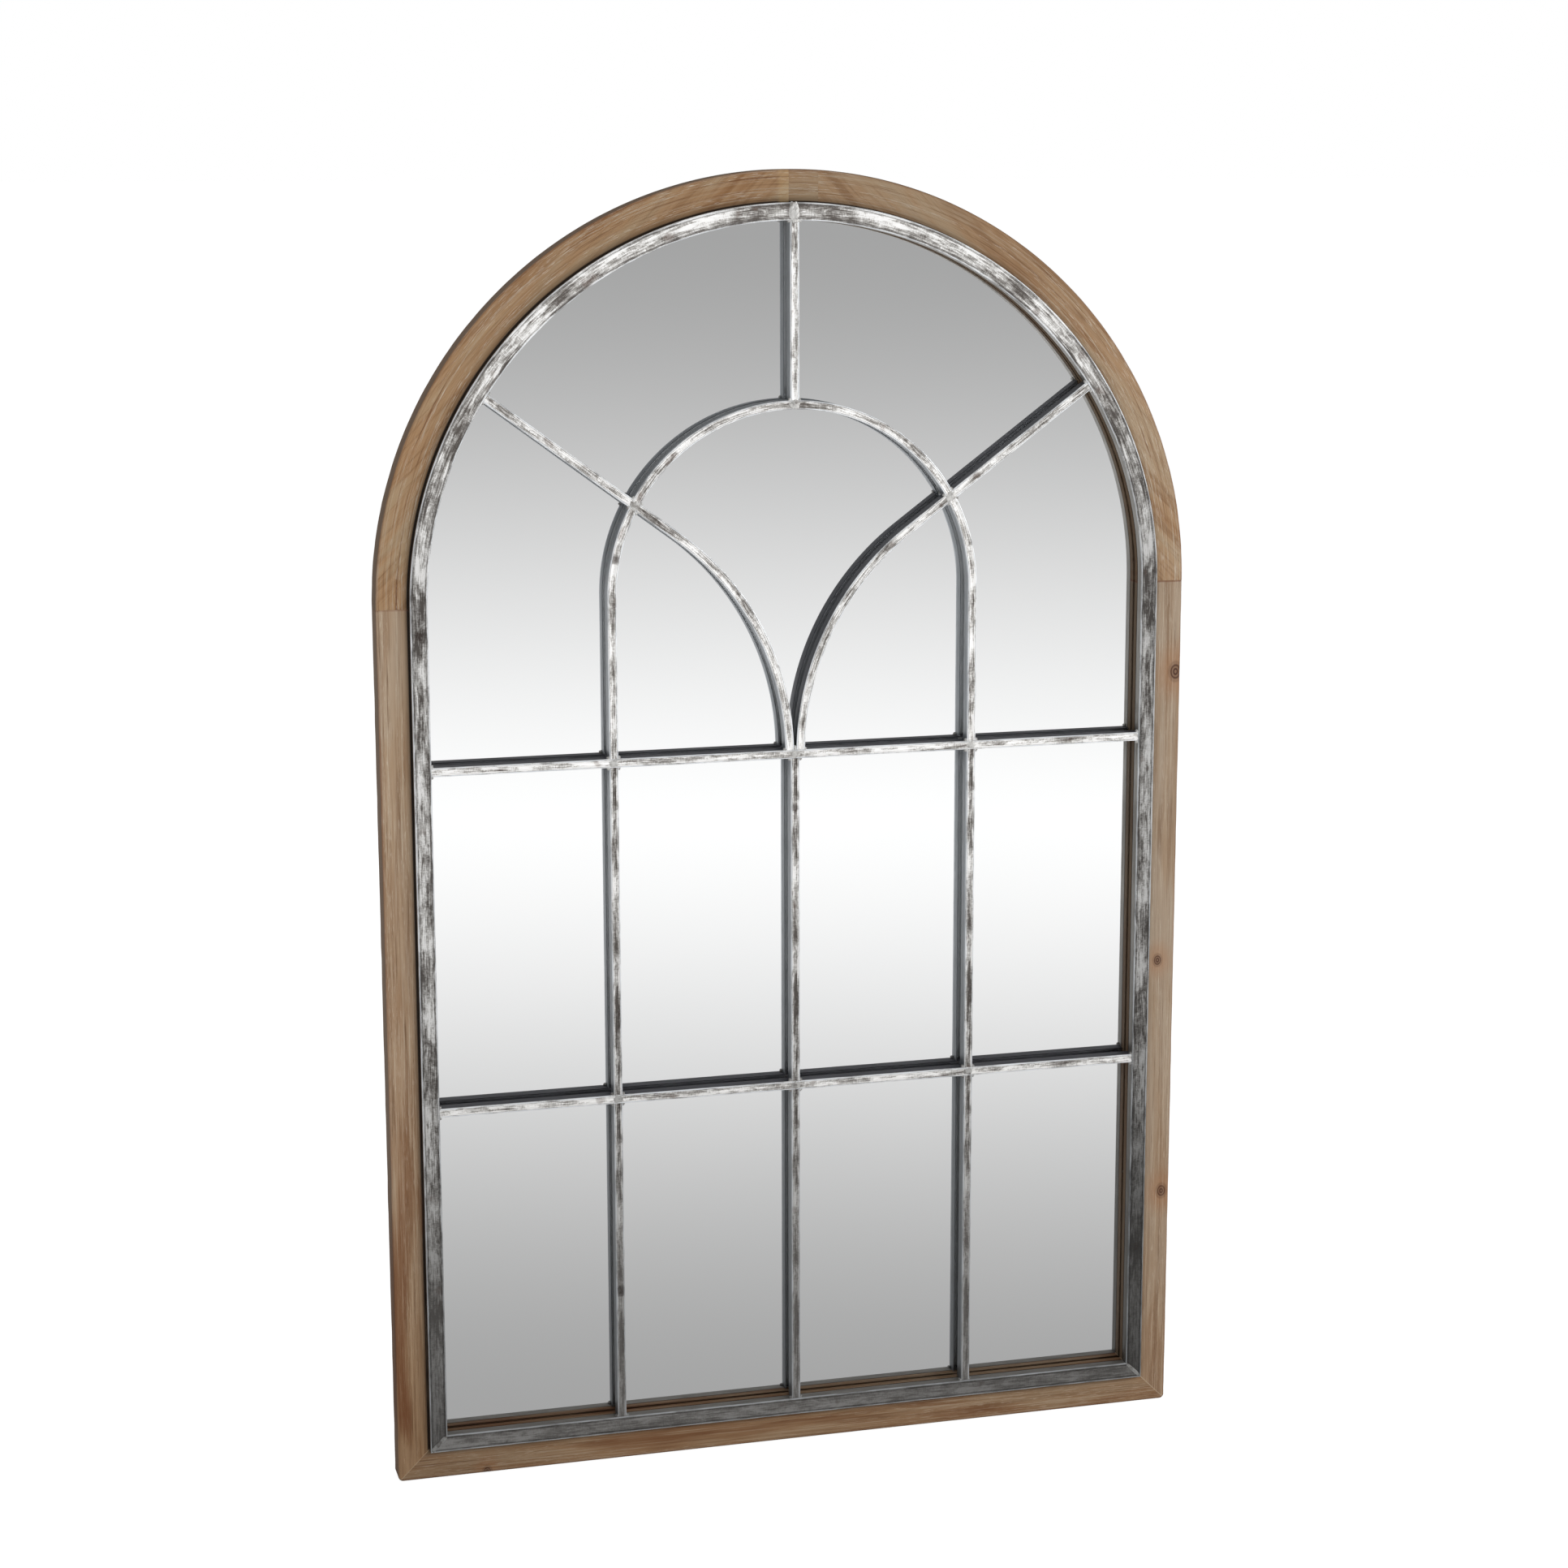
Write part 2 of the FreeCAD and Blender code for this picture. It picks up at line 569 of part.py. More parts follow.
def seam(length, width):
    """Flattened bead on the band's face, along X."""
    half = width / 2
    edges = [Part.Arc(Vector(0, 0, -half), Vector(0, -SEAM_HEIGHT, 0), Vector(0, 0, half)).toShape(),
             Part.makeLine(Vector(0, 0, half), Vector(0, 0, -half))]
    bead = Part.Face(Part.Wire(edges)).extrude(Vector(length, 0, 0))
    bead.translate(Vector(-length / 2, BAND_FRONT, 0))
    return bead


def band_welds():
    """Beads over the band's joints: both foot mitres and the crown."""
    flat = BAND_FACE - 2 * BAND_EDGE
    middle = BAND_INSET + BAND_FACE / 2
    mitre = placed(seam(flat * math.sqrt(2) - SEAM_WIDTH, SEAM_WIDTH), HALF_WIDTH - middle, middle, -45.0)
    crown = placed(seam(flat, CROWN_SEAM_WIDTH), 0, SPRING_HEIGHT + HALF_WIDTH - middle, 90.0)
    return joined([mitre, mirrored(mitre), crown])


# ---------------------------------------------------------------- hanging hardware
EYE_RADIUS = RING_WIRE_RADIUS + PIVOT_CLEARANCE
PIVOT_OUT = EYE_RADIUS + STRAP_SHEET                 # pivot to the back of the wood
HANGER_X = HALF_WIDTH - BODY_INSET
RING_REACH = RING_STRAIGHT + RING_HALF_WIDTH         # pivot to the wire's far centre line
RING_LEAN = math.degrees(math.asin((PIVOT_OUT - RING_WIRE_RADIUS - RING_REST_GAP) / RING_REACH))
RING_FOLD = math.degrees(math.asin((2 * STRAP_SHEET + RING_WIRE_RADIUS + RING_REST_GAP - PIVOT_OUT)
                                   / RING_REACH))
RING_TRAVEL = 180.0 + RING_LEAN - RING_FOLD


def ring_wire_path():
    """Centre line of the D-shaped ring: a straight bar, cut corners, two sides, a round end."""
    w = RING_HALF_WIDTH
    c = RING_CORNER
    foot = Part.makePolygon([Vector(-w, 0, RING_STRAIGHT), Vector(-w, 0, c), Vector(c - w, 0, 0),
                             Vector(w - c, 0, 0), Vector(w, 0, c), Vector(w, 0, RING_STRAIGHT)])
    end = Part.Arc(Vector(w, 0, RING_STRAIGHT), Vector(0, 0, RING_REACH),
                   Vector(-w, 0, RING_STRAIGHT)).toShape()
    return Part.Wire(foot.Edges + [end])


def hanger_ring():
    """Right ring, standing up and leaning against the wood."""
    turns = [2 * math.pi * (n + 0.5) / RING_WIRE_SIDES for n in range(RING_WIRE_SIDES + 1)]
    profile = Part.makePolygon([Vector(RING_WIRE_RADIUS * math.cos(turn) - RING_HALF_WIDTH,
                                       RING_WIRE_RADIUS * math.sin(turn), RING_STRAIGHT)
                                for turn in turns])
    ring = ring_wire_path().makePipeShell([profile], True, True, 1)
    ring.rotate(Vector(0, 0, 0), Vector(1, 0, 0), RING_LEAN)
    ring.translate(Vector(HANGER_X, WOOD_BACK + PIVOT_OUT, HANGER_HEIGHT))
    return ring


def hanger_strap():
    """Right strap: sheet folded round the ring's bar and screwed down through both leaves."""
    half = STRAP_WIDTH / 2
    leaf = Part.makeBox(STRAP_WIDTH, 2 * STRAP_SHEET, STRAP_LENGTH, Vector(-half, 0, -STRAP_LENGTH))
    foot = [e for e in leaf.Edges if abs(e.BoundBox.ZMax + STRAP_LENGTH) < 1e-6
            and e.BoundBox.YLength > STRAP_SHEET]
    leaf = leaf.makeFillet(STRAP_END_RADIUS, foot)
    axis = Vector(1, 0, 0)
    outside = Part.makeCylinder(PIVOT_OUT, STRAP_WIDTH, Vector(-half, PIVOT_OUT, 0), axis)
    eye = Part.makeCylinder(EYE_RADIUS, STRAP_WIDTH + 2, Vector(-half - 1, PIVOT_OUT, 0), axis)
    strap = leaf.fuse(outside).cut(eye).removeSplitter()
    strap.translate(Vector(HANGER_X, WOOD_BACK, HANGER_HEIGHT))
    return largest(strap.cut(right_hanger_screws(SCREW_HOLE_CLEARANCE)))


def right_hanger_screws(clearance=0.0):
    """Two pan-head screws through the right strap."""
    seat = WOOD_BACK + 2 * STRAP_SHEET
    radius = HANGER_SCREW_RADIUS + clearance
    shank = many_sided([(radius, WOOD_BACK - HANGER_SCREW_BITE - clearance), (radius, seat)], SCREW_SIDES)
    head = many_sided([(HANGER_HEAD_RADIUS, seat),
                       (HANGER_HEAD_TOP_RADIUS, seat + HANGER_HEAD_HEIGHT)], SCREW_SIDES)
    screw = shank.fuse(head)
    first = HANGER_HEIGHT - HANGER_SCREW_TOP
    return [placed(screw, HANGER_X, height, 0.0) for height in (first, first - HANGER_SCREW_SPACING)]


def hanger_screws(clearance=0.0):
    """The screws of both straps."""
    right = right_hanger_screws(clearance)
    return right + [mirrored(screw) for screw in right]


def wall_bumpers():
    """Four rubber feet that keep the frame's back off the wall."""
    foot = many_sided([(BUMPER_RADIUS, WOOD_BACK), (BUMPER_TOP_RADIUS, WOOD_BACK + BUMPER_HEIGHT)],
                      BUMPER_SIDES)
    angle = math.radians(BUMPER_ARCH_ANGLE)
    radius = HALF_WIDTH - BODY_INSET
    places = [(HALF_WIDTH - BUMPER_BASE_INSET, BUMPER_BASE_INSET),
              (radius * math.cos(angle), SPRING_HEIGHT + radius * math.sin(angle))]
    right = [placed(foot, x, z, 0.0) for x, z in places]
    return joined(right + [mirrored(piece) for piece in right])


def main():
    """Build every node and write it to its own file."""
    bars = grille_bars()
    nodes = {
        "mirror_glass": mirror_glass(),
        "backing_board": backing_board(),
        "retaining_points": joined(retaining_points()),
        "mitre_tongues": joined([mitre_tongue(), mirrored(mitre_tongue())]),
        "spring_tongues": joined([spring_tongue(), mirrored(spring_tongue())]),
        "crown_tongue": crown_tongue(),
        "fixing_tabs": joined(fixing_tabs()),
        "fixing_screws": joined(fixing_screws()),
        "crossing_welds": crossing_welds(),
        "tracery_welds": tracery_welds(bars),
        "bar_end_welds": bar_end_welds(),
        "band_welds": band_welds(),
        "hanger_straps": joined([hanger_strap(), mirrored(hanger_strap())]),
        "hanger_screws": joined(hanger_screws()),
        "right_hanger_ring": hanger_ring(),
        "left_hanger_ring": mirrored(hanger_ring()),
        "wall_bumpers": wall_bumpers(),
    }
    nodes.update(wooden_frame())
    nodes.update(steel_band())
    nodes.update(bars)
    os.makedirs("parts", exist_ok=True)
    for name, shape in nodes.items():
        shape.exportStep("parts/" + name + ".step")
        print(name, "solids", len(shape.Solids), "valid", shape.isValid(),
              "volume", round(shape.Volume / 1000, 2), "cm3")
    print("fork bend radius", round(fork_radius(), 2))
    print("ring pivot", HANGER_X, round(WOOD_BACK + PIVOT_OUT, 3), HANGER_HEIGHT,
          "travel", round(RING_TRAVEL, 2), "degrees")


main()
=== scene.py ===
# %% [markdown]
# # An arched window mirror
# This lesson dresses a mirror that was first drawn as solids. The mirror is built like a small
# round-headed window: a pale, whitewashed wooden frame, a hollow steel band on its face, and a welded
# grille of grooved steel bars in front of one sheet of silvered glass. The solids give every size, and
# here each visible piece gets its real rounding, weld, grain and wear.
#
# Every piece is made in the same way: an outline is carried along a line, whole arrays at a time.

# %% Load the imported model
import math

import bpy
import numpy as np
from mathutils import Matrix, Vector


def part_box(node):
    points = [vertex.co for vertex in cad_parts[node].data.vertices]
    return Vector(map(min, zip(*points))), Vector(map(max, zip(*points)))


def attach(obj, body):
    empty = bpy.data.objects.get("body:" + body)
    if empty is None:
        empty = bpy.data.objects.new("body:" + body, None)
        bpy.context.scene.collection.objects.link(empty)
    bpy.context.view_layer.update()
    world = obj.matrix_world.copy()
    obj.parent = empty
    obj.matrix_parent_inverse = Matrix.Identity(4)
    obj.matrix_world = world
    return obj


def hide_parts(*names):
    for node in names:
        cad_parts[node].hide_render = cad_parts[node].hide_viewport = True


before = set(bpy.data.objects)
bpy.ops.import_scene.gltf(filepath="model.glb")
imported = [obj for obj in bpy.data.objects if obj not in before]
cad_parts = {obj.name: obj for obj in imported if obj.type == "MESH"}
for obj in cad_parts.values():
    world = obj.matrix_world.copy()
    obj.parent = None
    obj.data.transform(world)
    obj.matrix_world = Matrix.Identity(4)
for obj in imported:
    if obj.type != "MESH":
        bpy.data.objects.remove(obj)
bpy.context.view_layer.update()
print("nodes in the packed model:", len(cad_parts))

# %% [markdown]
# ## Sizes
# Nothing is measured twice. The solids' own boxes give the sizes of the frame, band and bars in metres,
# so a piece made here lies exactly where its solid lies. Only the few sizes that a box doesn't show,
# such as the slope of the rays, are written down.

# %% Read the sizes from the solids
MM = 0.001
low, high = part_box("right_stile")
HALF, WOOD_FRONT, WOOD_BACK = high.x, low.y, high.y
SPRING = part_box("right_arch")[0].z
low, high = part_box("right_side_band")
OPENING, BAND_OUT, BAND_FRONT = low.x, high.x, low.y
FACE = HALF - OPENING
BAND_INSET = HALF - BAND_OUT
low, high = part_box("mirror_glass")
GLASS_HALF, GLASS_FOOT, LIP_BACK, GLASS_BACK = high.x, low.z, low.y, high.y
RABBET_INSET = HALF - GLASS_HALF - 1.0 * MM
low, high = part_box("right_leg")
LEG_X, HALF_BAR, BAR_FRONT, BAR_BACK = (low.x + high.x) / 2, (high.x - low.x) / 2, low.y, high.y
low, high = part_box("upper_crossbar")
UPPER = (low.z + high.z) / 2
low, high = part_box("lower_crossbar")
LOWER = (low.z + high.z) / 2
INNER_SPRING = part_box("inner_arch")[0].z
low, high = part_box("crown_key")
KEY_LEFT, KEY_RIGHT = low.x, high.x
RAY_SLOPE = math.radians(36.5)
RAY_CROSSING = math.radians(29.4)
FORK_SPACING = 10.4 * MM
print("half width", round(HALF, 4), "spring line", round(SPRING, 4), "bar width", round(2 * HALF_BAR, 4))

# %% [markdown]
# ## Outlines with eased corners
# No edge on the real frame is sharp: the wood is sanded by hand and the steel is rolled. Blender's Bevel
# modifier could round the edges of a finished mesh, but it is quicker and tidier to round the outline
# itself before it is carried along. Each corner is swapped for a short curve.

# %% Round the corners of an outline
def eased(corners, radii, steps=5):
    """Swap every corner of a closed outline for a curve.

    The curve leaves the outline one radius before the corner C and comes back one radius after it:
    (1 - t)^2 before + 2 t (1 - t) C + t^2 after, for t from 0 to 1.
    """
    corner = np.array(corners, float)
    reach = np.array(radii, float)[:, None]
    to_last = np.roll(corner, 1, 0) - corner
    to_next = np.roll(corner, -1, 0) - corner
    before = corner + to_last / np.linalg.norm(to_last, axis=1, keepdims=True) * reach
    after = corner + to_next / np.linalg.norm(to_next, axis=1, keepdims=True) * reach
    t = np.linspace(0, 1, steps)[None, :, None]
    curve = (1 - t) ** 2 * before[:, None] + 2 * t * (1 - t) * corner[:, None] + t ** 2 * after[:, None]
    return curve.reshape(-1, 2)

# %% [markdown]
# ## From rings of points to a mesh
# Carrying an outline along a line gives a grid of points: ring after ring. One function turns any such
# grid into a closed mesh. It also finds out which way the faces look, from the sign of the volume that
# they enclose, so a mirrored piece never comes out inside out. A second grid of the same shape, called
# run, holds for each point how far it is along the member, across it and behind its face. The finishes
# read it, so streaks follow a bent bar round its bend.

# %% Turn a grid of points into a closed piece
def skin(name, points, run, loop=False):
    """Make a mesh object from points of shape (tubes, rings, points in a ring, 3).

    A face joins points j and j + 1 of rings i and i + 1, counted round the ring. The first and last ring
    are closed with one face each, unless the tube closes on itself. A tube whose volume, the sum of
    corner . (next x opposite) / 6, is negative gets its faces turned round.
    """
    tubes, rings, around, _ = points.shape
    index = np.arange(tubes * rings * around).reshape(tubes, rings, around)
    first = index if loop else index[:, :-1]
    second = np.roll(index, -1, 1) if loop else index[:, 1:]
    quads = np.stack([first, np.roll(first, -1, 2), np.roll(second, -1, 2), second], -1).reshape(tubes, -1, 4)
    ends = index[:, :0] if loop else np.stack([index[:, 0, ::-1], index[:, -1]], 1)
    centred = (points - points.mean((1, 2), keepdims=True)).reshape(-1, 3)
    a, b, c, d = (centred[quads[..., k]] for k in range(4))
    rim = centred[ends]
    fans = np.cross(rim.mean(2, keepdims=True), rim) * np.roll(rim, -1, 2)
    volume = (np.cross(a, b) * c + np.cross(a, c) * d).sum((1, 2)) + fans.sum((1, 2, 3))
    faces = []
    for kind in (quads, ends):
        outward = np.where(volume[:, None, None] < 0, kind[..., ::-1], kind)
        faces += outward.reshape(-1, kind.shape[-1]).tolist()
    mesh = bpy.data.meshes.new(name)
    mesh.from_pydata(points.reshape(-1, 3), [], faces)
    layer = mesh.attributes.new("run", "FLOAT_VECTOR", "POINT")
    layer.data.foreach_set("vector", np.broadcast_to(run, points.shape).astype(np.float32).ravel())
    mesh.shade_smooth()
    mesh.set_sharp_from_angle(angle=math.radians(32))
    piece = bpy.data.objects.new(name, mesh)
    bpy.context.scene.collection.objects.link(piece)
    return piece


def along_line(name, across, depth, x, z, run, face_depth):
    """A piece from an outline (across, depth) and its rings' places x and z in the frame's plane."""
    y = np.broadcast_to(depth, x.shape)
    run = np.stack(np.broadcast_arrays(run, across, y - face_depth), -1)
    return skin(name, np.stack([x, y, z], -1)[None], run[None])


def wavering(distance, seed, size):
    """The slight unevenness of hand work: size times the mean of five sines of the distance."""
    phase = np.sin(seed * 12.9898 + np.arange(5) * 78.233) * 43758.5453
    pace = np.array([31.0, 73.0, 127.0, 211.0, 389.0])
    return size * np.sin(distance[..., None] * pace + phase).mean(-1)

# %% [markdown]
# ## The steps along a member
# A member's two ends are cut to fit its neighbours: square, mitred, or hollowed to fit a round band. So
# the start and the end of each line depend on how far across the member it lies. The lines between them
# are ruled straight, or turn round one centre. A fine gap is left at each glued or butted joint, which
# the eye reads as the joint's dark line.

# %% Ruled and turned members
JOINT = 0.035 * MM


def even(steps):
    """Steps from 0 to 1 as a column."""
    return np.linspace(0, 1, steps)[:, None]


def ruled(start, end, t):
    """Rings from one cut end to the other: start + t (end - start), for each point of the outline."""
    x = start[0] + t * (end[0] - start[0])
    z = start[1] + t * (end[1] - start[1])
    return x, z


def turned(centre, radius, start, end, t):
    """Rings about a centre: each point of the outline keeps its radius and turns from start to end."""
    angle = start + t * (end - start)
    return centre[0] + radius * np.cos(angle), centre[1] + radius * np.sin(angle), angle


def meet_circle(x, z, direction, centre, radius):
    """Where rays from (x, z) along a direction leave a circle: the larger root of |p + s d - c| = r."""
    dx, dz = x - centre[0], z - centre[1]
    along = dx * direction[0] + dz * direction[1]
    reach = -along + np.sqrt(along ** 2 - dx ** 2 - dz ** 2 + radius ** 2)
    return x + reach * direction[0], z + reach * direction[1]

# %% [markdown]
# ## The wooden frame
# The frame has six pieces: two upright stiles, a bottom rail mitred to them, two quarter rings for the
# arch, and a narrow key between those at the crown. On the real frame the outer front edge is eased the
# most, and the two lower corners are sanded round. That corner is made by a change of place: inside a
# small square at the corner, every square line is drawn onto a circle of the same half width.

# %% Shape the six pieces of wood
WOOD_OUTLINE = eased([(0, WOOD_FRONT), (FACE, WOOD_FRONT), (FACE, LIP_BACK), (RABBET_INSET, LIP_BACK),
                      (RABBET_INSET, WOOD_BACK), (0, WOOD_BACK)],
                     np.array([2.8, 0.4, 0.4, 0.2, 0.6, 1.4]) * MM)
FOOT_ROUND = 4.5 * MM


def rounded_foot(x, z):
    """Draw the squares about a point one radius in from each lower corner onto circles."""
    dx = np.abs(x) - (HALF - FOOT_ROUND)
    dz = FOOT_ROUND - z
    inside = (dx > 0) & (dz > 0)
    scale = np.maximum(dx, dz) / np.where(inside, np.hypot(dx, dz), 1)
    new_x = np.sign(x) * (HALF - FOOT_ROUND + dx * scale)
    return np.where(inside, new_x, x), np.where(inside, FOOT_ROUND - dz * scale, z)


def wood_piece(name, x, z, run, seed):
    """One piece of the frame, with its outer face and its eased edge left a little uneven."""
    across, depth = WOOD_OUTLINE[:, 0], WOOD_OUTLINE[:, 1]
    near_edge = np.clip(1 - across / (4 * MM), 0, 1)
    x, z = rounded_foot(x, z)
    lift = wavering(run, seed, 0.25 * MM) * near_edge
    length = np.hypot(x, np.where(z > SPRING, z - SPRING, 0))
    x = x - lift * x / np.maximum(length, HALF / 2)
    return along_line(name, across, depth, x, z, run, WOOD_FRONT)


a = WOOD_OUTLINE[:, 0]
foot_first = np.concatenate([np.linspace(0, 0.02, 14), np.linspace(0.03, 1, 70)])[:, None]
both_feet = np.concatenate([np.linspace(0, 0.02, 14), np.linspace(0.03, 0.97, 60), np.linspace(0.98, 1, 14)])
wood = {}
for side, sign in (("left", -1), ("right", 1)):
    x, z = ruled((sign * (HALF - a), a + JOINT), (sign * (HALF - a), SPRING - JOINT), foot_first)
    wood[side + "_stile"] = wood_piece(side + "_stile_wood", x, z, z, sign + 2)
x, z = ruled((a + JOINT - HALF, a), (HALF - a - JOINT, a), both_feet[:, None])
wood["bottom_rail"] = wood_piece("bottom_rail_wood", x, z, x, 5)
radius = HALF - a
spans = {"right_arch": (JOINT / radius, np.arccos((KEY_RIGHT + JOINT) / radius), 90),
         "crown_key": (np.arccos((KEY_RIGHT - JOINT) / radius), np.arccos((KEY_LEFT + JOINT) / radius), 8),
         "left_arch": (np.arccos((KEY_LEFT - JOINT) / radius), math.pi - JOINT / radius, 90)}
for number, (node, (start, end, steps)) in enumerate(spans.items()):
    x, z, angle = turned((0, SPRING), radius, start, end, even(steps))
    wood[node] = wood_piece(node + "_wood", x, z, angle * (HALF - FACE / 2), 7 + number)
print("wood pieces:", ", ".join(wood))

# %% [markdown]
# ## The steel band
# The band is thin sheet folded to a shallow channel, open at the back, and it lies on the inner part of
# the wood. Two uprights and a foot are mitred, and two bent halves meet at the crown. Its face is left
# very slightly hollow and wavy between its edges, as folded sheet is, so it never shines as a flat plate.

# %% Shape the five lengths of the band
WALL = 1.2 * MM
BAND_OUTLINE = eased([(BAND_INSET, WOOD_FRONT), (BAND_INSET, BAND_FRONT),
                      ((BAND_INSET + FACE) / 2, BAND_FRONT + 0.35 * MM), (FACE, BAND_FRONT),
                      (FACE, WOOD_FRONT), (FACE - WALL, WOOD_FRONT), (FACE - WALL, BAND_FRONT + WALL),
                      (BAND_INSET + WALL, BAND_FRONT + WALL), (BAND_INSET + WALL, WOOD_FRONT)],
                     np.array([0.1, 1.1, 5, 1.1, 0.1, 0.1, 0.3, 0.3, 0.1]) * MM)
a = BAND_OUTLINE[:, 0]


def band_piece(name, x, z, run, seed):
    """One length of the band. Its front waves in depth by up to a quarter of a millimetre."""
    depth = np.broadcast_to(BAND_OUTLINE[:, 1], x.shape)
    front = np.clip(1 - (depth - BAND_FRONT) / (1.5 * MM), 0, 1)
    dents = wavering(run + 3 * a, seed, 0.16 * MM) + wavering(2.3 * run - 5 * a, seed + 9, 0.12 * MM)
    return along_line(name, a, depth + np.abs(dents) * front, x, z, run, BAND_FRONT)


band = {}
for side, sign in (("left", -1), ("right", 1)):
    x, z = ruled((sign * (HALF - a), a + JOINT), (sign * (HALF - a), SPRING - JOINT / 2 + 0 * a), even(220))
    band[side + "_side_band"] = band_piece(side + "_band_steel", x, z, z, 20 + sign)
x, z = ruled((-HALF + a + JOINT, a), (HALF - a - JOINT, a), even(180))
band["bottom_band"] = band_piece("bottom_band_steel", x, z, x, 23)
radius = HALF - a
for sign, side in ((1, "right"), (-1, "left")):
    x, z, angle = turned((0, SPRING), radius, JOINT / 2 / radius, math.pi / 2 - JOINT / radius, even(200))
    run = SPRING + angle * (HALF - FACE / 2)
    band[side + "_arch_band"] = band_piece(side + "_arch_band_steel", sign * x, z, run, 20 + sign)
print("band lengths:", ", ".join(band))

# %% [markdown]
# ## The bars of the grille
# Each bar is a narrow rolled channel with a groove down its face, so light catches on the two ridges and
# leaves the groove darker. The two crossbars run right through. All other bars are cut to fit between
# them, the inner arch and the band, and the two forks bend smoothly from upright into the slope of the
# rays. The ridges are a little worn and dented, which moves the highlights as on the real bars.

# %% Shape the bars
RIM, BOTTOM, GROOVE = 1.75 * MM, 1.15 * MM, 0.7 * MM
BAR_OUTLINE = eased([(-HALF_BAR, BAR_BACK), (-HALF_BAR, BAR_FRONT), (-RIM, BAR_FRONT),
                     (-BOTTOM, BAR_FRONT + GROOVE), (BOTTOM, BAR_FRONT + GROOVE), (RIM, BAR_FRONT),
                     (HALF_BAR, BAR_FRONT), (HALF_BAR, BAR_BACK), (HALF_BAR - MM, BAR_BACK),
                     (HALF_BAR - MM, BAR_FRONT + 1.8 * MM), (MM - HALF_BAR, BAR_FRONT + 1.8 * MM),
                     (MM - HALF_BAR, BAR_BACK)],
                    np.array([0.1, 1.0, 0.7, 0.25, 0.25, 0.7, 1.0, 0.1, 0.1, 0.3, 0.3, 0.1]) * MM)
a = BAR_OUTLINE[:, 0]
bars = {}


def bar_piece(node, x, z, run):
    """One bar, replacing the solid of that name."""
    depth = np.broadcast_to(BAR_OUTLINE[:, 1], x.shape)
    front = np.clip(1 - (depth - BAR_FRONT) / (0.9 * MM), 0, 1)
    dents = wavering(1.7 * run + 40 * a, 31 + len(bars), 0.3 * MM)
    piece = along_line(node + "_steel", a, depth + np.abs(dents) * front, x, z, run, BAR_FRONT)
    bars[node] = piece


def straight_bar(node, start, end, first=0.0, way=1):
    """A bar between two ends, each a pair (x, z) over the outline, its run counted from first."""
    x, z = ruled(start, end, even(120))
    bar_piece(node, x, z, first + way * np.hypot(x - x[:1], z - z[:1]))


level = 0 * a
for node, height in (("upper_crossbar", UPPER), ("lower_crossbar", LOWER)):
    straight_bar(node, (level - OPENING, height + a), (level + OPENING, height + a))
for side, middle in (("left", -LEG_X), ("centre", 0.0), ("right", LEG_X)):
    for part, bottom, top in (("_middle_bar", LOWER + HALF_BAR, UPPER), ("_lower_bar", FACE, LOWER)):
        straight_bar(side + part, (middle - a, level + bottom), (middle - a, level + top - HALF_BAR))
leg = INNER_SPRING - UPPER - HALF_BAR
for side, sign, first in (("left", -1, math.pi * LEG_X + leg), ("right", 1, -leg)):
    x = sign * (LEG_X + a)
    straight_bar(side + "_leg", (x, level + UPPER + HALF_BAR), (x, level + INNER_SPRING), first, sign)
x, z, angle = turned((0, INNER_SPRING), LEG_X + a, 0.0, math.pi, even(260))
bar_piece("inner_arch", x, z, angle * LEG_X)
straight_bar("crown_bar", (level - a, INNER_SPRING + np.sqrt((LEG_X + HALF_BAR) ** 2 - a ** 2)),
             (level - a, SPRING + np.sqrt(OPENING ** 2 - a ** 2)))
print("straight bars and the inner arch:", len(bars))

# %% [markdown]
# ## Rays and forks
# A ray and its fork lie on one line through the inner arch. The ray is straight. The fork leaves the
# crossbar upright on a circle, and the circle's radius is the one whose tangent at the ray's slope is
# the ray's own line. Left and right are mirror images.

# %% Shape the rays and forks
direction = (math.cos(RAY_SLOPE), math.sin(RAY_SLOPE))
cross_x = LEG_X * math.cos(RAY_CROSSING)
cross_z = INNER_SPRING + LEG_X * math.sin(RAY_CROSSING)
fork_foot = FORK_SPACING / 2
FORK_RADIUS = ((cross_z - UPPER) * direction[0] - (cross_x - fork_foot) * direction[1]) / (1 - direction[1])
line_x, line_z = cross_x - a * direction[1], cross_z + a * direction[0]
ray_start = meet_circle(line_x, line_z, direction, (0, INNER_SPRING), LEG_X + HALF_BAR)
ray_end = meet_circle(line_x, line_z, direction, (0, SPRING), OPENING)
fork_end = meet_circle(line_x, line_z, direction, (0, INNER_SPRING), LEG_X - HALF_BAR)
radius = FORK_RADIUS + a
bend_start, bend_end = math.pi - np.arcsin(HALF_BAR / radius), math.pi / 2 + RAY_SLOPE
bend_x, bend_z, _ = turned((fork_foot + FORK_RADIUS, UPPER), radius, bend_start, bend_end, even(120))
run_x, run_z = ruled((bend_x[-1], bend_z[-1]), fork_end, even(30)[1:])
fork_x, fork_z = np.concatenate([bend_x, run_x]), np.concatenate([bend_z, run_z])
steps = np.hypot(np.diff(fork_x.mean(1)), np.diff(fork_z.mean(1)))
fork_run = np.concatenate([[0], np.cumsum(steps)])[:, None] + 0 * fork_x
for side, sign in (("right", 1), ("left", -1)):
    straight_bar(side + "_ray", (sign * ray_start[0], ray_start[1]), (sign * ray_end[0], ray_end[1]))
    bar_piece(side + "_fork", sign * fork_x, fork_z, fork_run)
print("fork radius", round(FORK_RADIUS, 4), "bars in all", len(bars))

# %% [markdown]
# ## Welds
# Where bars meet, the welder left small beads in the corners and dressed the faces to low bright lumps.
# A bead is a ball pulled to an uneven pebble: the radius in each direction is changed by a few sines of
# that direction. One array holds all the beads of a kind, so many beads cost no more code than one.

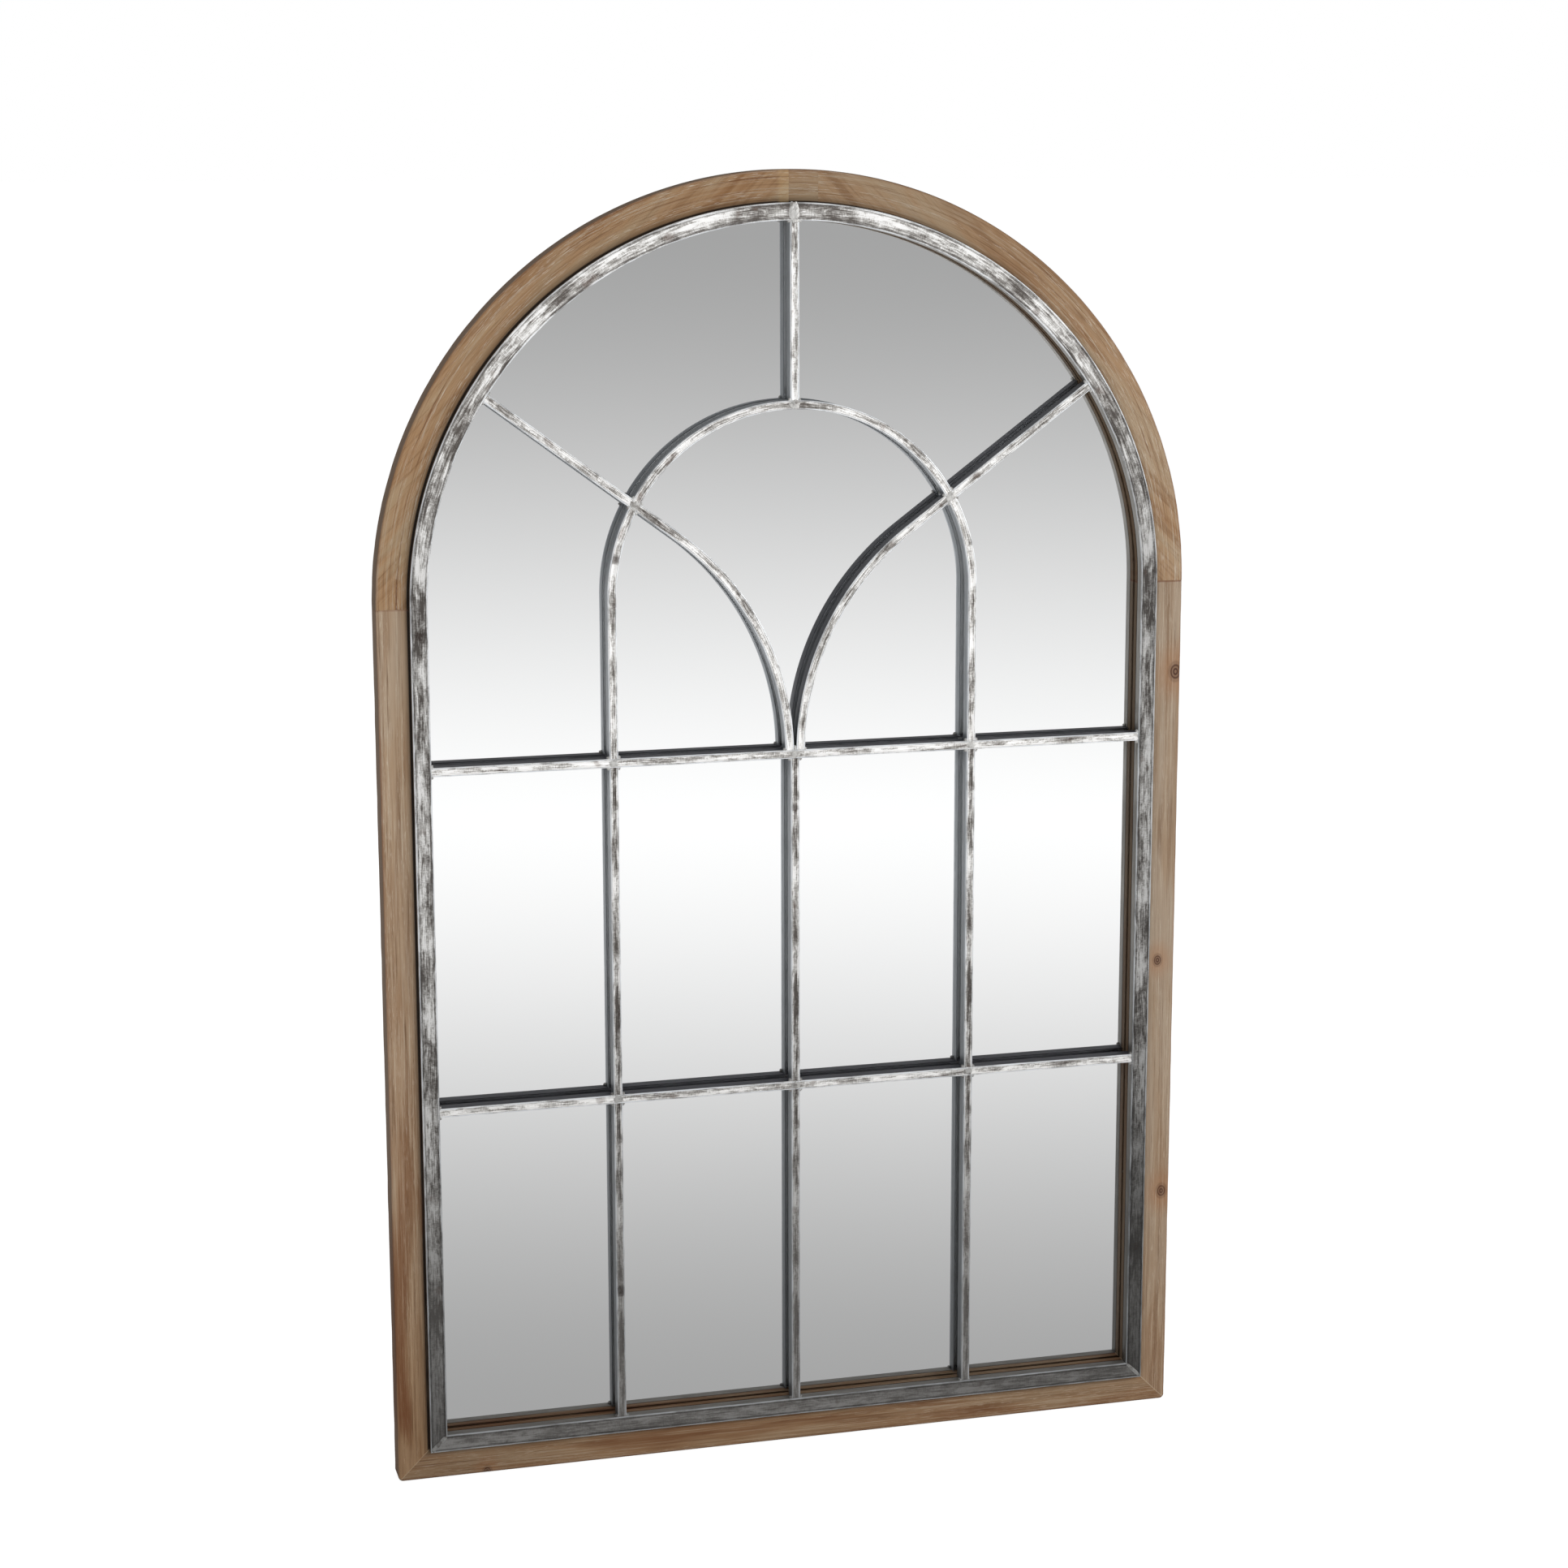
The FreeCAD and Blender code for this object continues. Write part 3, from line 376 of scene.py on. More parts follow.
# %% Make pebbles of weld metal
def pebbles(name, places, sizes, turns, square=2.0):
    """Uneven rounded lumps, one for each row of places and sizes (half lengths), turned in the plane.

    A direction (sin u cos v, cos u, sin u sin v) is stretched by the sizes, made squarer by the power
    2 / square of each part, and lengthened or shortened by up to a fifth by sines of the direction.
    """
    places, sizes = np.array(places, float), np.array(sizes, float) * MM
    turns = np.radians(np.array(turns, float))[:, None, None]
    u = np.linspace(0.16, math.pi - 0.16, 16)[None, :, None]
    v = np.linspace(0, 2 * math.pi, 28, endpoint=False)[None, None, :]
    seed = np.arange(len(places))[:, None, None] * 1.7
    part = np.stack(np.broadcast_arrays(np.sin(u) * np.cos(v), -np.cos(u) + 0 * v, np.sin(u) * np.sin(v)), -1)
    part = np.broadcast_to(part, (len(places),) + part.shape[1:])
    lump = (1 + 0.08 * np.sin(5 * part[..., 0] + seed * 3) + 0.06 * np.sin(9 * part[..., 2] + seed * 5)
            + 0.05 * np.sin(13 * part[..., 0] + 7 * part[..., 2] + seed * 7))
    shape = np.sign(part) * np.abs(part) ** (2 / square) * lump[..., None] * sizes[:, None, None]
    x = shape[..., 0] * np.cos(turns) - shape[..., 2] * np.sin(turns)
    z = shape[..., 0] * np.sin(turns) + shape[..., 2] * np.cos(turns)
    points = np.stack([x, shape[..., 1], z], -1) + places[:, None, None]
    return skin(name, points, points * (1, 0, 0) + shape * (0, 1, 1))


def corner_places(x, z, quarters):
    """The inner corners of an upright and a level bar's crossing, by quarter as on a graph."""
    across = np.array([1 if q in (1, 4) else -1 for q in quarters])
    up = np.array([1 if q in (1, 2) else -1 for q in quarters])
    reach = HALF_BAR + 0.5 * MM
    return np.stack([x + across * reach, np.full(len(quarters), BAR_FRONT + 2.4 * MM), z + up * reach], 1)

# %% [markdown]
# ## Welds of the grille
# Every crossing has a small bead in each free corner and a dressed lump on its face, and so have the
# places where arch, rays, forks and crown bar meet. Their places are worked out from the bars' own
# lines, not set by eye, so each bead sits in its corner.

# %% Place the welds at the crossings
DRESSED, FILLET = BAR_FRONT + 0.75 * MM, BAR_FRONT + 2 * MM
BESIDE = HALF_BAR + 0.4 * MM
corners = np.concatenate([corner_places(x, z, (1, 2, 3, 4)) for x in (-LEG_X, LEG_X) for z in (UPPER, LOWER)]
                         + [corner_places(0, LOWER, (1, 2, 3, 4)), corner_places(0, UPPER, (3, 4))])
faces = [(x, DRESSED, z) for x in (-LEG_X, 0, LEG_X) for z in (UPPER, LOWER)]
crossing_welds = pebbles("crossing_weld_beads", list(corners) + faces,
                         [(1.9, 2.1, 1.9)] * len(corners) + [(4.3, 1.1, 3.9)] * len(faces),
                         [20 * k for k in range(len(corners))] + [3, -4, 2, 5, -3, 4], 2.3)
slope_deg = math.degrees(RAY_SLOPE)
arch_top, fork_beside = INNER_SPRING + LEG_X, UPPER + HALF_BAR + 0.3 * MM
tracery = [(0, DRESSED, arch_top), (HALF_BAR, FILLET, arch_top + BESIDE),
           (-HALF_BAR, FILLET, arch_top + BESIDE), (0, BAR_FRONT + 1.6 * MM, UPPER + HALF_BAR + 1.5 * MM),
           (fork_foot + HALF_BAR, FILLET, fork_beside), (-fork_foot - HALF_BAR, FILLET, fork_beside)]
tracery_sizes = [(5.2, 1.3, 4.4)] + [(1.9, 2.0, 1.7)] * 2 + [(1.3, 1.6, 2.6)] + [(1.8, 2.0, 1.7)] * 2
tracery_turns = [4, 10, -20, 0, 30, -30]
for sign in (1, -1):
    tracery.append((sign * cross_x, DRESSED, cross_z))
    tracery_sizes += [(5.0, 1.2, 4.4)] + [(2.0, 2.1, 1.6)] * 4
    tracery_turns += [sign * slope_deg] + [sign * slope_deg + 90] * 4
    for reach in (LEG_X + HALF_BAR + 0.3 * MM, LEG_X - HALF_BAR - 0.3 * MM):
        for spread in (-1, 1):
            turn = RAY_CROSSING + spread * BESIDE / reach + (reach - LEG_X) * 0.9
            tracery.append((sign * reach * math.cos(turn), FILLET, INNER_SPRING + reach * math.sin(turn)))
tracery_welds = pebbles("tracery_weld_beads", tracery, tracery_sizes, tracery_turns, 2.2)
print("weld beads:", len(corners) + len(faces) + len(tracery))

# %% [markdown]
# ## Welds at the band
# The bars' ends run into the band's inner edge with a small fillet on each side. The band's own joints
# have longer beads, ground down to a soft ridge: one slanting across each foot mitre, and a wide collar
# at the crown.

# %% Place the welds at the bars' ends and over the band's joints
both, reach = (1, -1), OPENING - 0.4 * MM
ends = [(sign * reach, FILLET, z + side * BESIDE) for z in (UPPER, LOWER) for sign in both for side in both]
ends += [(x + side * BESIDE, FILLET, FACE + 0.4 * MM) for x in (-LEG_X, 0, LEG_X) for side in both]
end_turns = [90] * 8 + [0] * 6
tip_turn = math.atan2(ray_end[1].mean() - SPRING, ray_end[0].mean())
for sign in both:
    ends.append((sign * BESIDE, FILLET, SPRING + OPENING - 0.5 * MM))
    for side in both:
        turn = tip_turn + side * (HALF_BAR + 0.5 * MM) / OPENING
        ends.append((sign * reach * math.cos(turn), FILLET, SPRING + reach * math.sin(turn)))
    end_turns += [0] + [sign * slope_deg + 90] * 2
bar_end_welds = pebbles("bar_end_weld_beads", ends, [(2.1, 2.1, 1.5)] * len(ends), end_turns, 2.2)
seam_middle = (BAND_INSET + FACE) / 2
seams = [(HALF - seam_middle, BAND_FRONT + 0.35 * MM, seam_middle),
         (seam_middle - HALF, BAND_FRONT + 0.35 * MM, seam_middle),
         (-0.8 * MM, BAND_FRONT + 0.3 * MM, SPRING + HALF - seam_middle),
         (0, BAND_FRONT + 1.2 * MM, SPRING + OPENING + 0.5 * MM)]
seam_sizes = [(10.2, 0.55, 1.8), (10.2, 0.7, 2.2), (8.3, 0.95, 4.8), (3.6, 1.6, 3.2)]
band_welds = pebbles("band_weld_beads", seams, seam_sizes, [-45, -135, 90, 0], 2.4)
print("end beads:", len(ends), "seams:", len(seams))

# %% [markdown]
# ## The mirror glass
# A silvered sheet mirrors at its back face. Looking through the glass, that face seems to lie two thirds
# as deep as it is, and the small step between the wood's lip and the reflection of the lip shows as a
# thin dark line all round. So the sheet here is silver alone, and it lies where the silvering seems to
# be. Its outline is the window's own: a foot, two sides and a half circle.

# %% Cut the sheet
SILVER_DEPTH = (GLASS_BACK - LIP_BACK) / 1.52
turn = np.linspace(0, math.pi, 121)
sheet_x = np.concatenate([[-GLASS_HALF], [GLASS_HALF], GLASS_HALF * np.cos(turn)])
sheet_z = np.concatenate([[GLASS_FOOT], [GLASS_FOOT], SPRING + GLASS_HALF * np.sin(turn)])
sheet_y = np.array([LIP_BACK + SILVER_DEPTH, GLASS_BACK])[:, None]
sheet = np.stack(np.broadcast_arrays(sheet_x, sheet_y, sheet_z), -1)
silver = skin("silvered_glass", sheet[None], sheet[None])
print("silver lies", round(SILVER_DEPTH * 1000, 2), "mm behind the face of the glass")

# %% [markdown]
# ## Hanging hardware
# On the back, two folded straps hold D rings bent from round wire, each strap under two pan-head screws,
# and four rubber bumpers keep the wood off the wall. A ring is a circle of wire carried along a D. A
# curve with a round bevel would do too, but a grid of points needs nothing new.

# %% Bend the D rings
low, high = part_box("hanger_straps")
ring_low, ring_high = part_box("right_hanger_ring")
WIRE = 1.5 * MM
RING_HALF = (ring_high.x - ring_low.x) / 2 - WIRE
HANGER_X = (ring_low.x + ring_high.x) / 2
EYE = 2.58 * MM
PIVOT_Y, PIVOT_Z = WOOD_BACK + EYE, 730 * MM
RING_STRAIGHT, RING_CORNER, RING_LEAN = 8 * MM, 2.1 * MM, math.asin(0.78 / 19)


def ring_points(sign):
    """Points of one D ring, leaning on the wood.

    The line of the wire goes round the D: two rounded corners, two sides and a half circle. Each of its
    points carries a circle of the wire's radius, spanned by the line's own normal and the y axis.
    """
    quarter = np.linspace(0, math.pi / 2, 8)
    arc = np.linspace(0, math.pi, 40)
    corner = RING_HALF - RING_CORNER
    bar = np.linspace(-corner, corner, 8)[1:-1]
    x = np.concatenate([-corner - RING_CORNER * np.cos(quarter), bar, corner + RING_CORNER * np.sin(quarter),
                        RING_HALF * np.cos(arc)])
    z = np.concatenate([RING_CORNER * (1 - np.sin(quarter)), 0 * bar, RING_CORNER * (1 - np.cos(quarter)),
                        RING_STRAIGHT + RING_HALF * np.sin(arc)])
    step_x, step_z = np.roll(x, -1) - np.roll(x, 1), np.roll(z, -1) - np.roll(z, 1)
    length = np.hypot(step_x, step_z)
    normal_x, normal_z = step_z / length, -step_x / length
    around = np.linspace(0, 2 * math.pi, 18, endpoint=False)[None]
    out, back = WIRE * np.cos(around), WIRE * np.sin(around)
    px = x[:, None] + normal_x[:, None] * out
    pz = z[:, None] + normal_z[:, None] * out
    y = back * math.cos(RING_LEAN) - pz * math.sin(RING_LEAN)
    pz = back * math.sin(RING_LEAN) + pz * math.cos(RING_LEAN)
    points = np.stack(np.broadcast_arrays(sign * (HANGER_X + px), PIVOT_Y + y, PIVOT_Z + pz), -1)
    return points[None]


rings = {}
for side, sign in (("left", -1), ("right", 1)):
    points = ring_points(sign)
    rings[side] = skin(side + "_ring_wire", points, points, loop=True)
print("ring reaches from", round(ring_low.z, 4), "to", round(ring_high.z, 4))

# %% [markdown]
# ## The straps
# Each strap is one strip of sheet, folded in half round the ring's straight side, so that two leaves lie
# on each other below the eye. A block with a hole in it would lack the fold. So the strip's side view is
# drawn as a line, the sheet's thickness is laid to both sides of it, and the rings of points follow it.

# %% Fold the straps
STRAP_HALF, STRAP_FOOT, STRAP_ROUND, SHEET = 7 * MM, PIVOT_Z - 38 * MM, 3 * MM, 0.5 * MM
LEAF_TOP, DRAWN_FROM = PIVOT_Z - 3.2 * MM, PIVOT_Z - 8 * MM


def strap_points(sign):
    """Points of one strap: its side view, a strip folded round the ring's bar, carried across its width.

    The strip's middle line goes up the inner leaf, round the eye and down the outer leaf, and its two
    faces lie half a sheet to either side. Towards the foot it is drawn up to a round at both corners.
    """
    rise = np.linspace(STRAP_FOOT, PIVOT_Z, 30, endpoint=False)
    arc = np.linspace(math.pi, -0.35 * math.pi, 26)
    fall = np.linspace(LEAF_TOP, STRAP_FOOT, 26)
    eye = EYE - SHEET
    y = np.concatenate([0 * rise + WOOD_BACK + SHEET, PIVOT_Y + eye * np.cos(arc),
                        0 * fall + WOOD_BACK + 3 * SHEET])
    z = np.concatenate([rise, PIVOT_Z + eye * np.sin(arc), fall])
    step_y, step_z = np.gradient(y), np.gradient(z)
    length = np.maximum(np.hypot(step_y, step_z), 1e-9)
    side_y, side_z = step_z / length * SHEET, -step_y / length * SHEET
    outline_y = np.concatenate([y + side_y, (y - side_y)[::-1]])
    outline_z = np.concatenate([z + side_z, (z - side_z)[::-1]])
    ease = np.sin(np.linspace(0, math.pi / 2, 9)) * STRAP_ROUND
    width = np.concatenate([STRAP_ROUND - STRAP_HALF - ease[::-1], [0], STRAP_HALF - STRAP_ROUND + ease])
    past = np.maximum(np.abs(width) - (STRAP_HALF - STRAP_ROUND), 0)
    foot = STRAP_FOOT + STRAP_ROUND - np.sqrt(np.maximum(STRAP_ROUND ** 2 - past ** 2, 0))
    drawn = np.clip((DRAWN_FROM - outline_z) / (DRAWN_FROM - STRAP_FOOT), 0, 1)
    points = np.stack(np.broadcast_arrays(sign * HANGER_X + width[:, None], outline_y[None],
                                          outline_z + (foot - STRAP_FOOT)[:, None] * drawn), -1)
    over, under = points[:, :len(y)], points[::-1, :len(y) - 1:-1]
    return np.concatenate([over, under]).swapaxes(0, 1)[None]


strap_grid = np.concatenate([strap_points(-1), strap_points(1)])
straps = skin("folded_straps", strap_grid, strap_grid)
print("strap is", round((high.z - low.z) * 1000, 1), "mm long")

# %% [markdown]
# ## Screw heads and bumpers
# Both are round, so each is a profile of radii and heights spun round an axis that points out of the
# back. The cross in a screw head could be cut with a Boolean modifier. Lowering the points that lie
# inside a cross is quicker, and gives the soft edges of a pressed head.

# %% Turn the screw heads and the bumpers
ARM_HALF, ARM_REACH = 0.47 * MM, 1.9 * MM
SCREW_DROPS, BUMPER_INSET = (11.5 * MM, 28.5 * MM), 22 * MM


def spun(name, profile, places, cross=0.0):
    """Profile rows (radius, y) spun round the y axis at each (x, z) place, 48 points to a ring.

    Where cross is over 0, points within ARM_HALF of either diagonal of the head and inside ARM_REACH are
    lowered by that depth, which presses the driver's cross into it.
    """
    radius, y = np.array(profile, float).T * MM
    turn = np.linspace(0, 2 * math.pi, 48, endpoint=False)
    x, z = radius[:, None] * np.cos(turn), radius[:, None] * np.sin(turn)
    depth = np.broadcast_to(y[:, None], x.shape)
    if cross:
        arm = np.minimum(np.abs(x + z), np.abs(x - z)) / math.sqrt(2)
        near, inner = (ARM_HALF - arm) / (0.3 * MM) + 0.5, (ARM_REACH - np.hypot(x, z)) / (0.4 * MM) + 0.5
        depth = depth - cross * MM * near.clip(0, 1) * inner.clip(0, 1) * (depth > depth.min() + 0.5 * MM)
    at = np.array(places, float)
    points = np.stack(np.broadcast_arrays(x[None] + at[:, 0, None, None], depth[None],
                                          z[None] + at[:, 1, None, None]), -1)
    shape = np.stack([x, depth, z], -1)[None]
    return skin(name, points, shape)


wood_back = WOOD_BACK / MM
head = [(0.3, -0.6), (3.1, -0.1), (3.2, 0.2), (3.15, 0.9), (2.95, 1.4), (2.6, 1.7), (2.3, 1.82)]
head = np.add(head + [(radius, 1.9) for radius in np.arange(2.0, 0.2, -0.25)], (0, wood_back + 2))
screw_places = [(sign * HANGER_X, PIVOT_Z - drop) for sign in (-1, 1) for drop in SCREW_DROPS]
screw_heads = spun("pan_head_screws", head, screw_places, 0.9)
foot = np.add([(0.4, 0), (5.45, 0), (5.5, 0.3), (5.3, 3.5), (4.9, 4.7), (4.4, 5.3), (3.8, 5.5), (2.6, 5.5),
               (2.0, 5.25), (0.9, 5.1), (0.3, 5.1)], (0, wood_back))
bumper_low, bumper_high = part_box("wall_bumpers")
top_angle, top_radius = math.radians(52), HALF - RABBET_INSET / 2
right_places = [(HALF - BUMPER_INSET, BUMPER_INSET),
                (top_radius * math.cos(top_angle), SPRING + top_radius * math.sin(top_angle))]
bumpers = spun("rubber_bumpers", foot, [(sign * x, z) for sign in (-1, 1) for x, z in right_places])
print("bumpers lie within", [round(c, 3) for c in (*bumper_low, *bumper_high)])

# %% [markdown]
# ## Writing finishes as sums
# A finish is a net of nodes. Written as Python sums it reads like the recipe it is: grain times colour
# plus dirt in the corners. A Signal is one output of a node, and each sign between two of them adds the
# matching Math node. Colours go through Mix nodes instead, because a Math node would turn them grey.

# %% A small class for node sums
class Signal:
    """One output socket of a finish, which can stand in a Python sum."""

    def __init__(self, finish, socket):
        self.finish, self.socket = finish, socket

    def math(self, operation, first, second=0.0):
        return self.finish.node("ShaderNodeMath", {"operation": operation}, {0: first, 1: second})

    def size(self):
        return self.math("ABSOLUTE", self)

    def sine(self):
        return self.math("SINE", self)

    def at_least(self, least):
        return self.math("MAXIMUM", self, least)

    def clipped(self):
        return self.math("MINIMUM", self.at_least(0.0), 1.0)

    def rises(self, start, end):
        """0 before start, 1 after end, smooth between. With start above end it falls instead."""
        return self.finish.node("ShaderNodeMapRange", {"interpolation_type": "SMOOTHSTEP"},
                                {"Value": self, "From Min": start, "From Max": end})


SIGNS = {"add": "ADD", "sub": "SUBTRACT", "mul": "MULTIPLY", "truediv": "DIVIDE", "pow": "POWER"}
for sign_name, operation in SIGNS.items():
    setattr(Signal, f"__{sign_name}__", lambda self, other, kind=operation: self.math(kind, self, other))
    setattr(Signal, f"__r{sign_name}__", lambda self, other, kind=operation: self.math(kind, other, self))
print("signs between signals:", ", ".join(SIGNS))

# %% [markdown]
# ## One object for each finish
# A Finish holds one material and adds its nodes. Colours are written as they look on a screen, since
# that is how they are judged, and one function turns them into amounts of light. A finish is laid on in
# coats, each of a colour and a mask, as a painter would, which stays readable where nested mixes don't.

# %% A small class for a finish
def paint(red, green, blue):
    """A colour given as it looks on a screen, 0 to 255, turned into the light that it sends back."""
    shown = np.array([red, green, blue]) / 255
    light = np.where(shown <= 0.04045, shown / 12.92, ((shown + 0.055) / 1.055) ** 2.4)
    return (*light, 1.0)


class Finish:
    """A material and its nodes. Its one method node() adds any node by its type."""

    def __init__(self, name):
        self.material = bpy.data.materials.new(name)
        self.material.use_nodes = True
        self.nodes, self.links = self.material.node_tree.nodes, self.material.node_tree.links
        self.nodes.clear()
        self.end = self.nodes.new("ShaderNodeOutputMaterial")
        self.place = self.node("ShaderNodeTexCoord", output="Object")
        self.run = self.node("ShaderNodeAttribute", {"attribute_name": "run"}, output="Vector")

    def node(self, kind, settings=None, inputs=None, output=0):
        """Add a node: its settings first, then the values or links of its inputs."""
        made = self.nodes.new(kind)
        for key, value in (settings or {}).items():
            setattr(made, key, value)
        for key, value in (inputs or {}).items():
            if isinstance(value, Signal):
                self.links.new(value.socket, made.inputs[key])
            else:
                made.inputs[key].default_value = value
        return Signal(self, made.outputs[output])

    def parts(self, vector):
        """The three numbers of a vector."""
        split = self.node("ShaderNodeSeparateXYZ", inputs={0: vector})
        return [Signal(self, out) for out in split.socket.node.outputs]

    def noise(self, vector, scale=1.0, detail=3.0, roughness=0.55, distortion=0.0):
        """Smooth random values about 0.5."""
        return self.node("ShaderNodeTexNoise", inputs={"Vector": vector, "Scale": scale, "Detail": detail,
                                                       "Roughness": roughness, "Distortion": distortion})

    def streaks(self, vector, scale, turn=0.0, shift=0.0, detail=3.0, roughness=0.55, distortion=0.0):
        """Noise on coordinates turned about y and scaled, so that it runs long in one direction."""
        level = self.node("ShaderNodeMapping", inputs={"Vector": vector, "Rotation": (0, turn, 0),
                                                       "Location": (shift, shift, shift)})
        scaled = self.node("ShaderNodeMapping", inputs={"Vector": level, "Scale": scale})
        return self.noise(scaled, 1.0, detail, roughness, distortion)

    def mix(self, under, over, mask):
        """The colour over laid on the colour under where the mask is 1."""
        return self.node("ShaderNodeMix", {"data_type": "RGBA"}, {0: mask, 6: under, 7: over}, 2)

    def coats(self, colour, *coats):
        """Lay coats on a colour one by one, each given as its screen colour and its mask."""
        for shown, mask in coats:
            colour = self.mix(colour, paint(*shown), mask)
        return colour

    def shaded(self, colour, amount):
        """A colour darkened or lightened by a number. A colour that doesn't vary is three plain numbers."""
        return self.tinted(colour, amount, amount, amount)

    def tinted(self, colour, red, green, blue):
        """A colour whose red, green and blue are each multiplied by a number of their own."""
        colour = colour if isinstance(colour, Signal) else colour[:3]
        filtered = self.node("ShaderNodeCombineXYZ", inputs={0: red, 1: green, 2: blue})
        return self.node("ShaderNodeVectorMath", {"operation": "MULTIPLY"}, {0: colour, 1: filtered})

    def bump(self, height, distance, strength):
        """A height that tilts the surface's normal."""
        inputs = {"Height": height, "Distance": distance, "Strength": strength}
        return self.node("ShaderNodeBump", inputs=inputs)

    def surface(self, **inputs):
        """Finish with a Principled shader."""
        named = {key.replace("_", " ").title().replace("Ior", "IOR"): value for key, value in inputs.items()}
        shader = self.node("ShaderNodeBsdfPrincipled", inputs=named)
        self.links.new(shader.socket, self.end.inputs["Surface"])
        return self.material

# %% [markdown]
# ## Whitewashed wood
# The frame is a brown-stained softwood with thin white paint rubbed into it. Three things show: the
# wood's own grain, which runs straight through each plank, also through the curved quarters, because
# they are sawn from flat planks; pale streaks of wash that follow the member's run, because they were
# wiped along it; and a reddish line on the eased outer edge, where sanding took the wash off again.
# The finish is built as it was on the real wood, coat over coat. The planks differ: the left upright is pale
# at its top and reddest at its foot, and the arch is bolder in its lines. Painted shade is laid on as well:
# the outer side face is darker, a darker strip and a black line run beside the band where its shadow falls,
# and the arch and key get a darker tone, darkest at the top, to offset the stronger light up there.

# %% Mix the wood finishes
def whitewashed_wood(name, turn, tone, warm, foot, shift, knots=(), scratches=0.5, blush=0.06, bold=0.5,
                     left=0.0, pale=0.0):
    """Wood with grain turned by an angle about y, a tone, a warmth and knots (x, z, size in mm).

    Towards the base it darkens by the share foot, and green and blue darken by one and two blushes more.
    bold is the strength of the dark lines, left the share by which it darkens at its left end, and pale how
    much a strip of lighter sapwood shows at the crown. shift moves the whole pattern. Painted shade is laid
    into the colour too: a darker outer side face, a darker strip and a black line beside the band where its
    shadow falls, and a darker top of the arch.
    """
    f = Finish(name)
    x, _, z = f.parts(f.place)
    _, across, depth = f.parts(f.run)
    wander = f.noise(f.place, 9, 2)
    grain = f.streaks(f.place, (8, 150, 170), turn, shift, 4, 0.6, 0.5)
    fibre = f.streaks(f.place, (26, 800, 1500), turn, shift, 3, 0.65, 0.2)
    patch = f.streaks(f.place, (5, 30, 34), turn, shift + 2, 3, 0.55, 0.5)
    lines = f.streaks(f.run, (8, 560, 500), 0, shift, 4, 0.72, 0.1)
    wiped = f.streaks(f.run, (3, 110, 80), 0, shift + 3, 2)
    hair = f.streaks(f.run, (74, 1700, 1300), 0, shift + 5, 3, 0.6, 0.1)
    brown = f.coats(paint(158 + warm, 131, 103 - warm),
                    ((130 + warm, 101, 75 - warm), grain.rises(0.44, 0.68) * 0.75),
                    ((166 + warm / 2, 147, 124 - warm), patch.rises(0.46, 0.62) * 0.7),
                    ((132 + warm, 96, 64 - warm), patch.rises(0.44, 0.30) * 0.55))
    white = lines.rises(0.50, 0.68) * (0.3 + 0.7 * wiped.rises(0.36, 0.56))
    sanded = (across + wander * 0.002 - lines * 0.0012).rises(3.4 * MM, 1.2 * MM)
    # Painted shade: a darker strip on the wood beside the band, and a black line where band and wood meet,
    # stand for the band's shadow.
    painted_band_shade = (across + lines * 0.001).rises(BAND_INSET - 7 * MM, BAND_INSET + 0.5 * MM)
    painted_band_shadow_line = (across + lines * 0.0008).rises(BAND_INSET - 1.6 * MM, BAND_INSET - 0.3 * MM)
    colour = f.coats(brown, ((92, 66, 44), fibre.rises(0.56, 0.74) * 0.42),
                     ((102 + warm, 73, 50), lines.rises(0.46, 0.30) * bold),
                     ((186, 172, 153), white * 0.72),
                     ((222, 212, 197), hair.rises(0.56, 0.66) * wiped.rises(0.40, 0.56) * scratches),
                     ((128, 84, 58), sanded * 0.42 * wiped.rises(0.25, 0.6)),
                     # Painted shade: the outer side face, turned away from the lamps, is darkened.
                     ((116, 99, 84), across.rises(0.9 * MM, 0.1 * MM) * 0.75),
                     ((96, 78, 60), painted_band_shade * 0.55),
                     ((26, 21, 18), painted_band_shadow_line * depth.rises(2 * MM, 0.5 * MM) * 0.92))
    for knot_x, knot_z, size in knots:
        dx, dz = x - knot_x * MM, (z - knot_z * MM) * 0.75
        reach = (dx * dx + dz * dz) ** 0.5 / (size * MM) + wander * 0.5
        ring = reach.rises(1.8, 0.8) * (0.7 + 0.3 * (reach * 14).sine())
        colour = f.coats(colour, ((158, 108, 68), reach.rises(5.0, 1.2) * 0.4), ((72, 44, 34), ring))
    mitre = (x.size() + z - HALF).size().rises(0.9 * MM, 0.3 * MM) * z.rises(FACE + 2 * MM, FACE)
    sapwood = x.rises(-15 * MM, -10 * MM) * x.rises(-2 * MM, -4 * MM)
    glue = (z - SPRING + lines * 0.001).size().rises(1.3 * MM, 0.2 * MM) * (0.3 + 0.35 * x.rises(0.0, 0.1))
    low = z.rises(0.52, 0.0)
    colour = f.coats(colour, ((204, 190, 168), mitre * 0.6), ((206, 176, 128), sapwood * pale),
                     ((112, 68, 46), glue), ((112, 66, 34), low * patch.rises(0.54, 0.36) * bold * 0.6),
                     ((186, 168, 146), low * lines.rises(0.52, 0.62) * 0.35))
    # Painted shade: from a metre up the colour darkens by up to 0.14 towards the top of the arch, offsetting
    # the stronger light there. left darkens the left end.
    end = 1 - left * x.rises(-0.14, -0.36) - 0.14 * z.rises(1.0, 1.19)
    colour = f.tinted(colour, *(end * (tone * (1 - low * (foot + more * blush))) for more in (0, 1, 2)))
    height = grain * 0.4 - fibre * 0.5 + white * 0.4
    return f.surface(base_color=colour, roughness=0.64 + 0.16 * white + 0.1 * fibre,
                     normal=f.bump(height, 0.0006, 0.4), specular_ior_level=0.3)


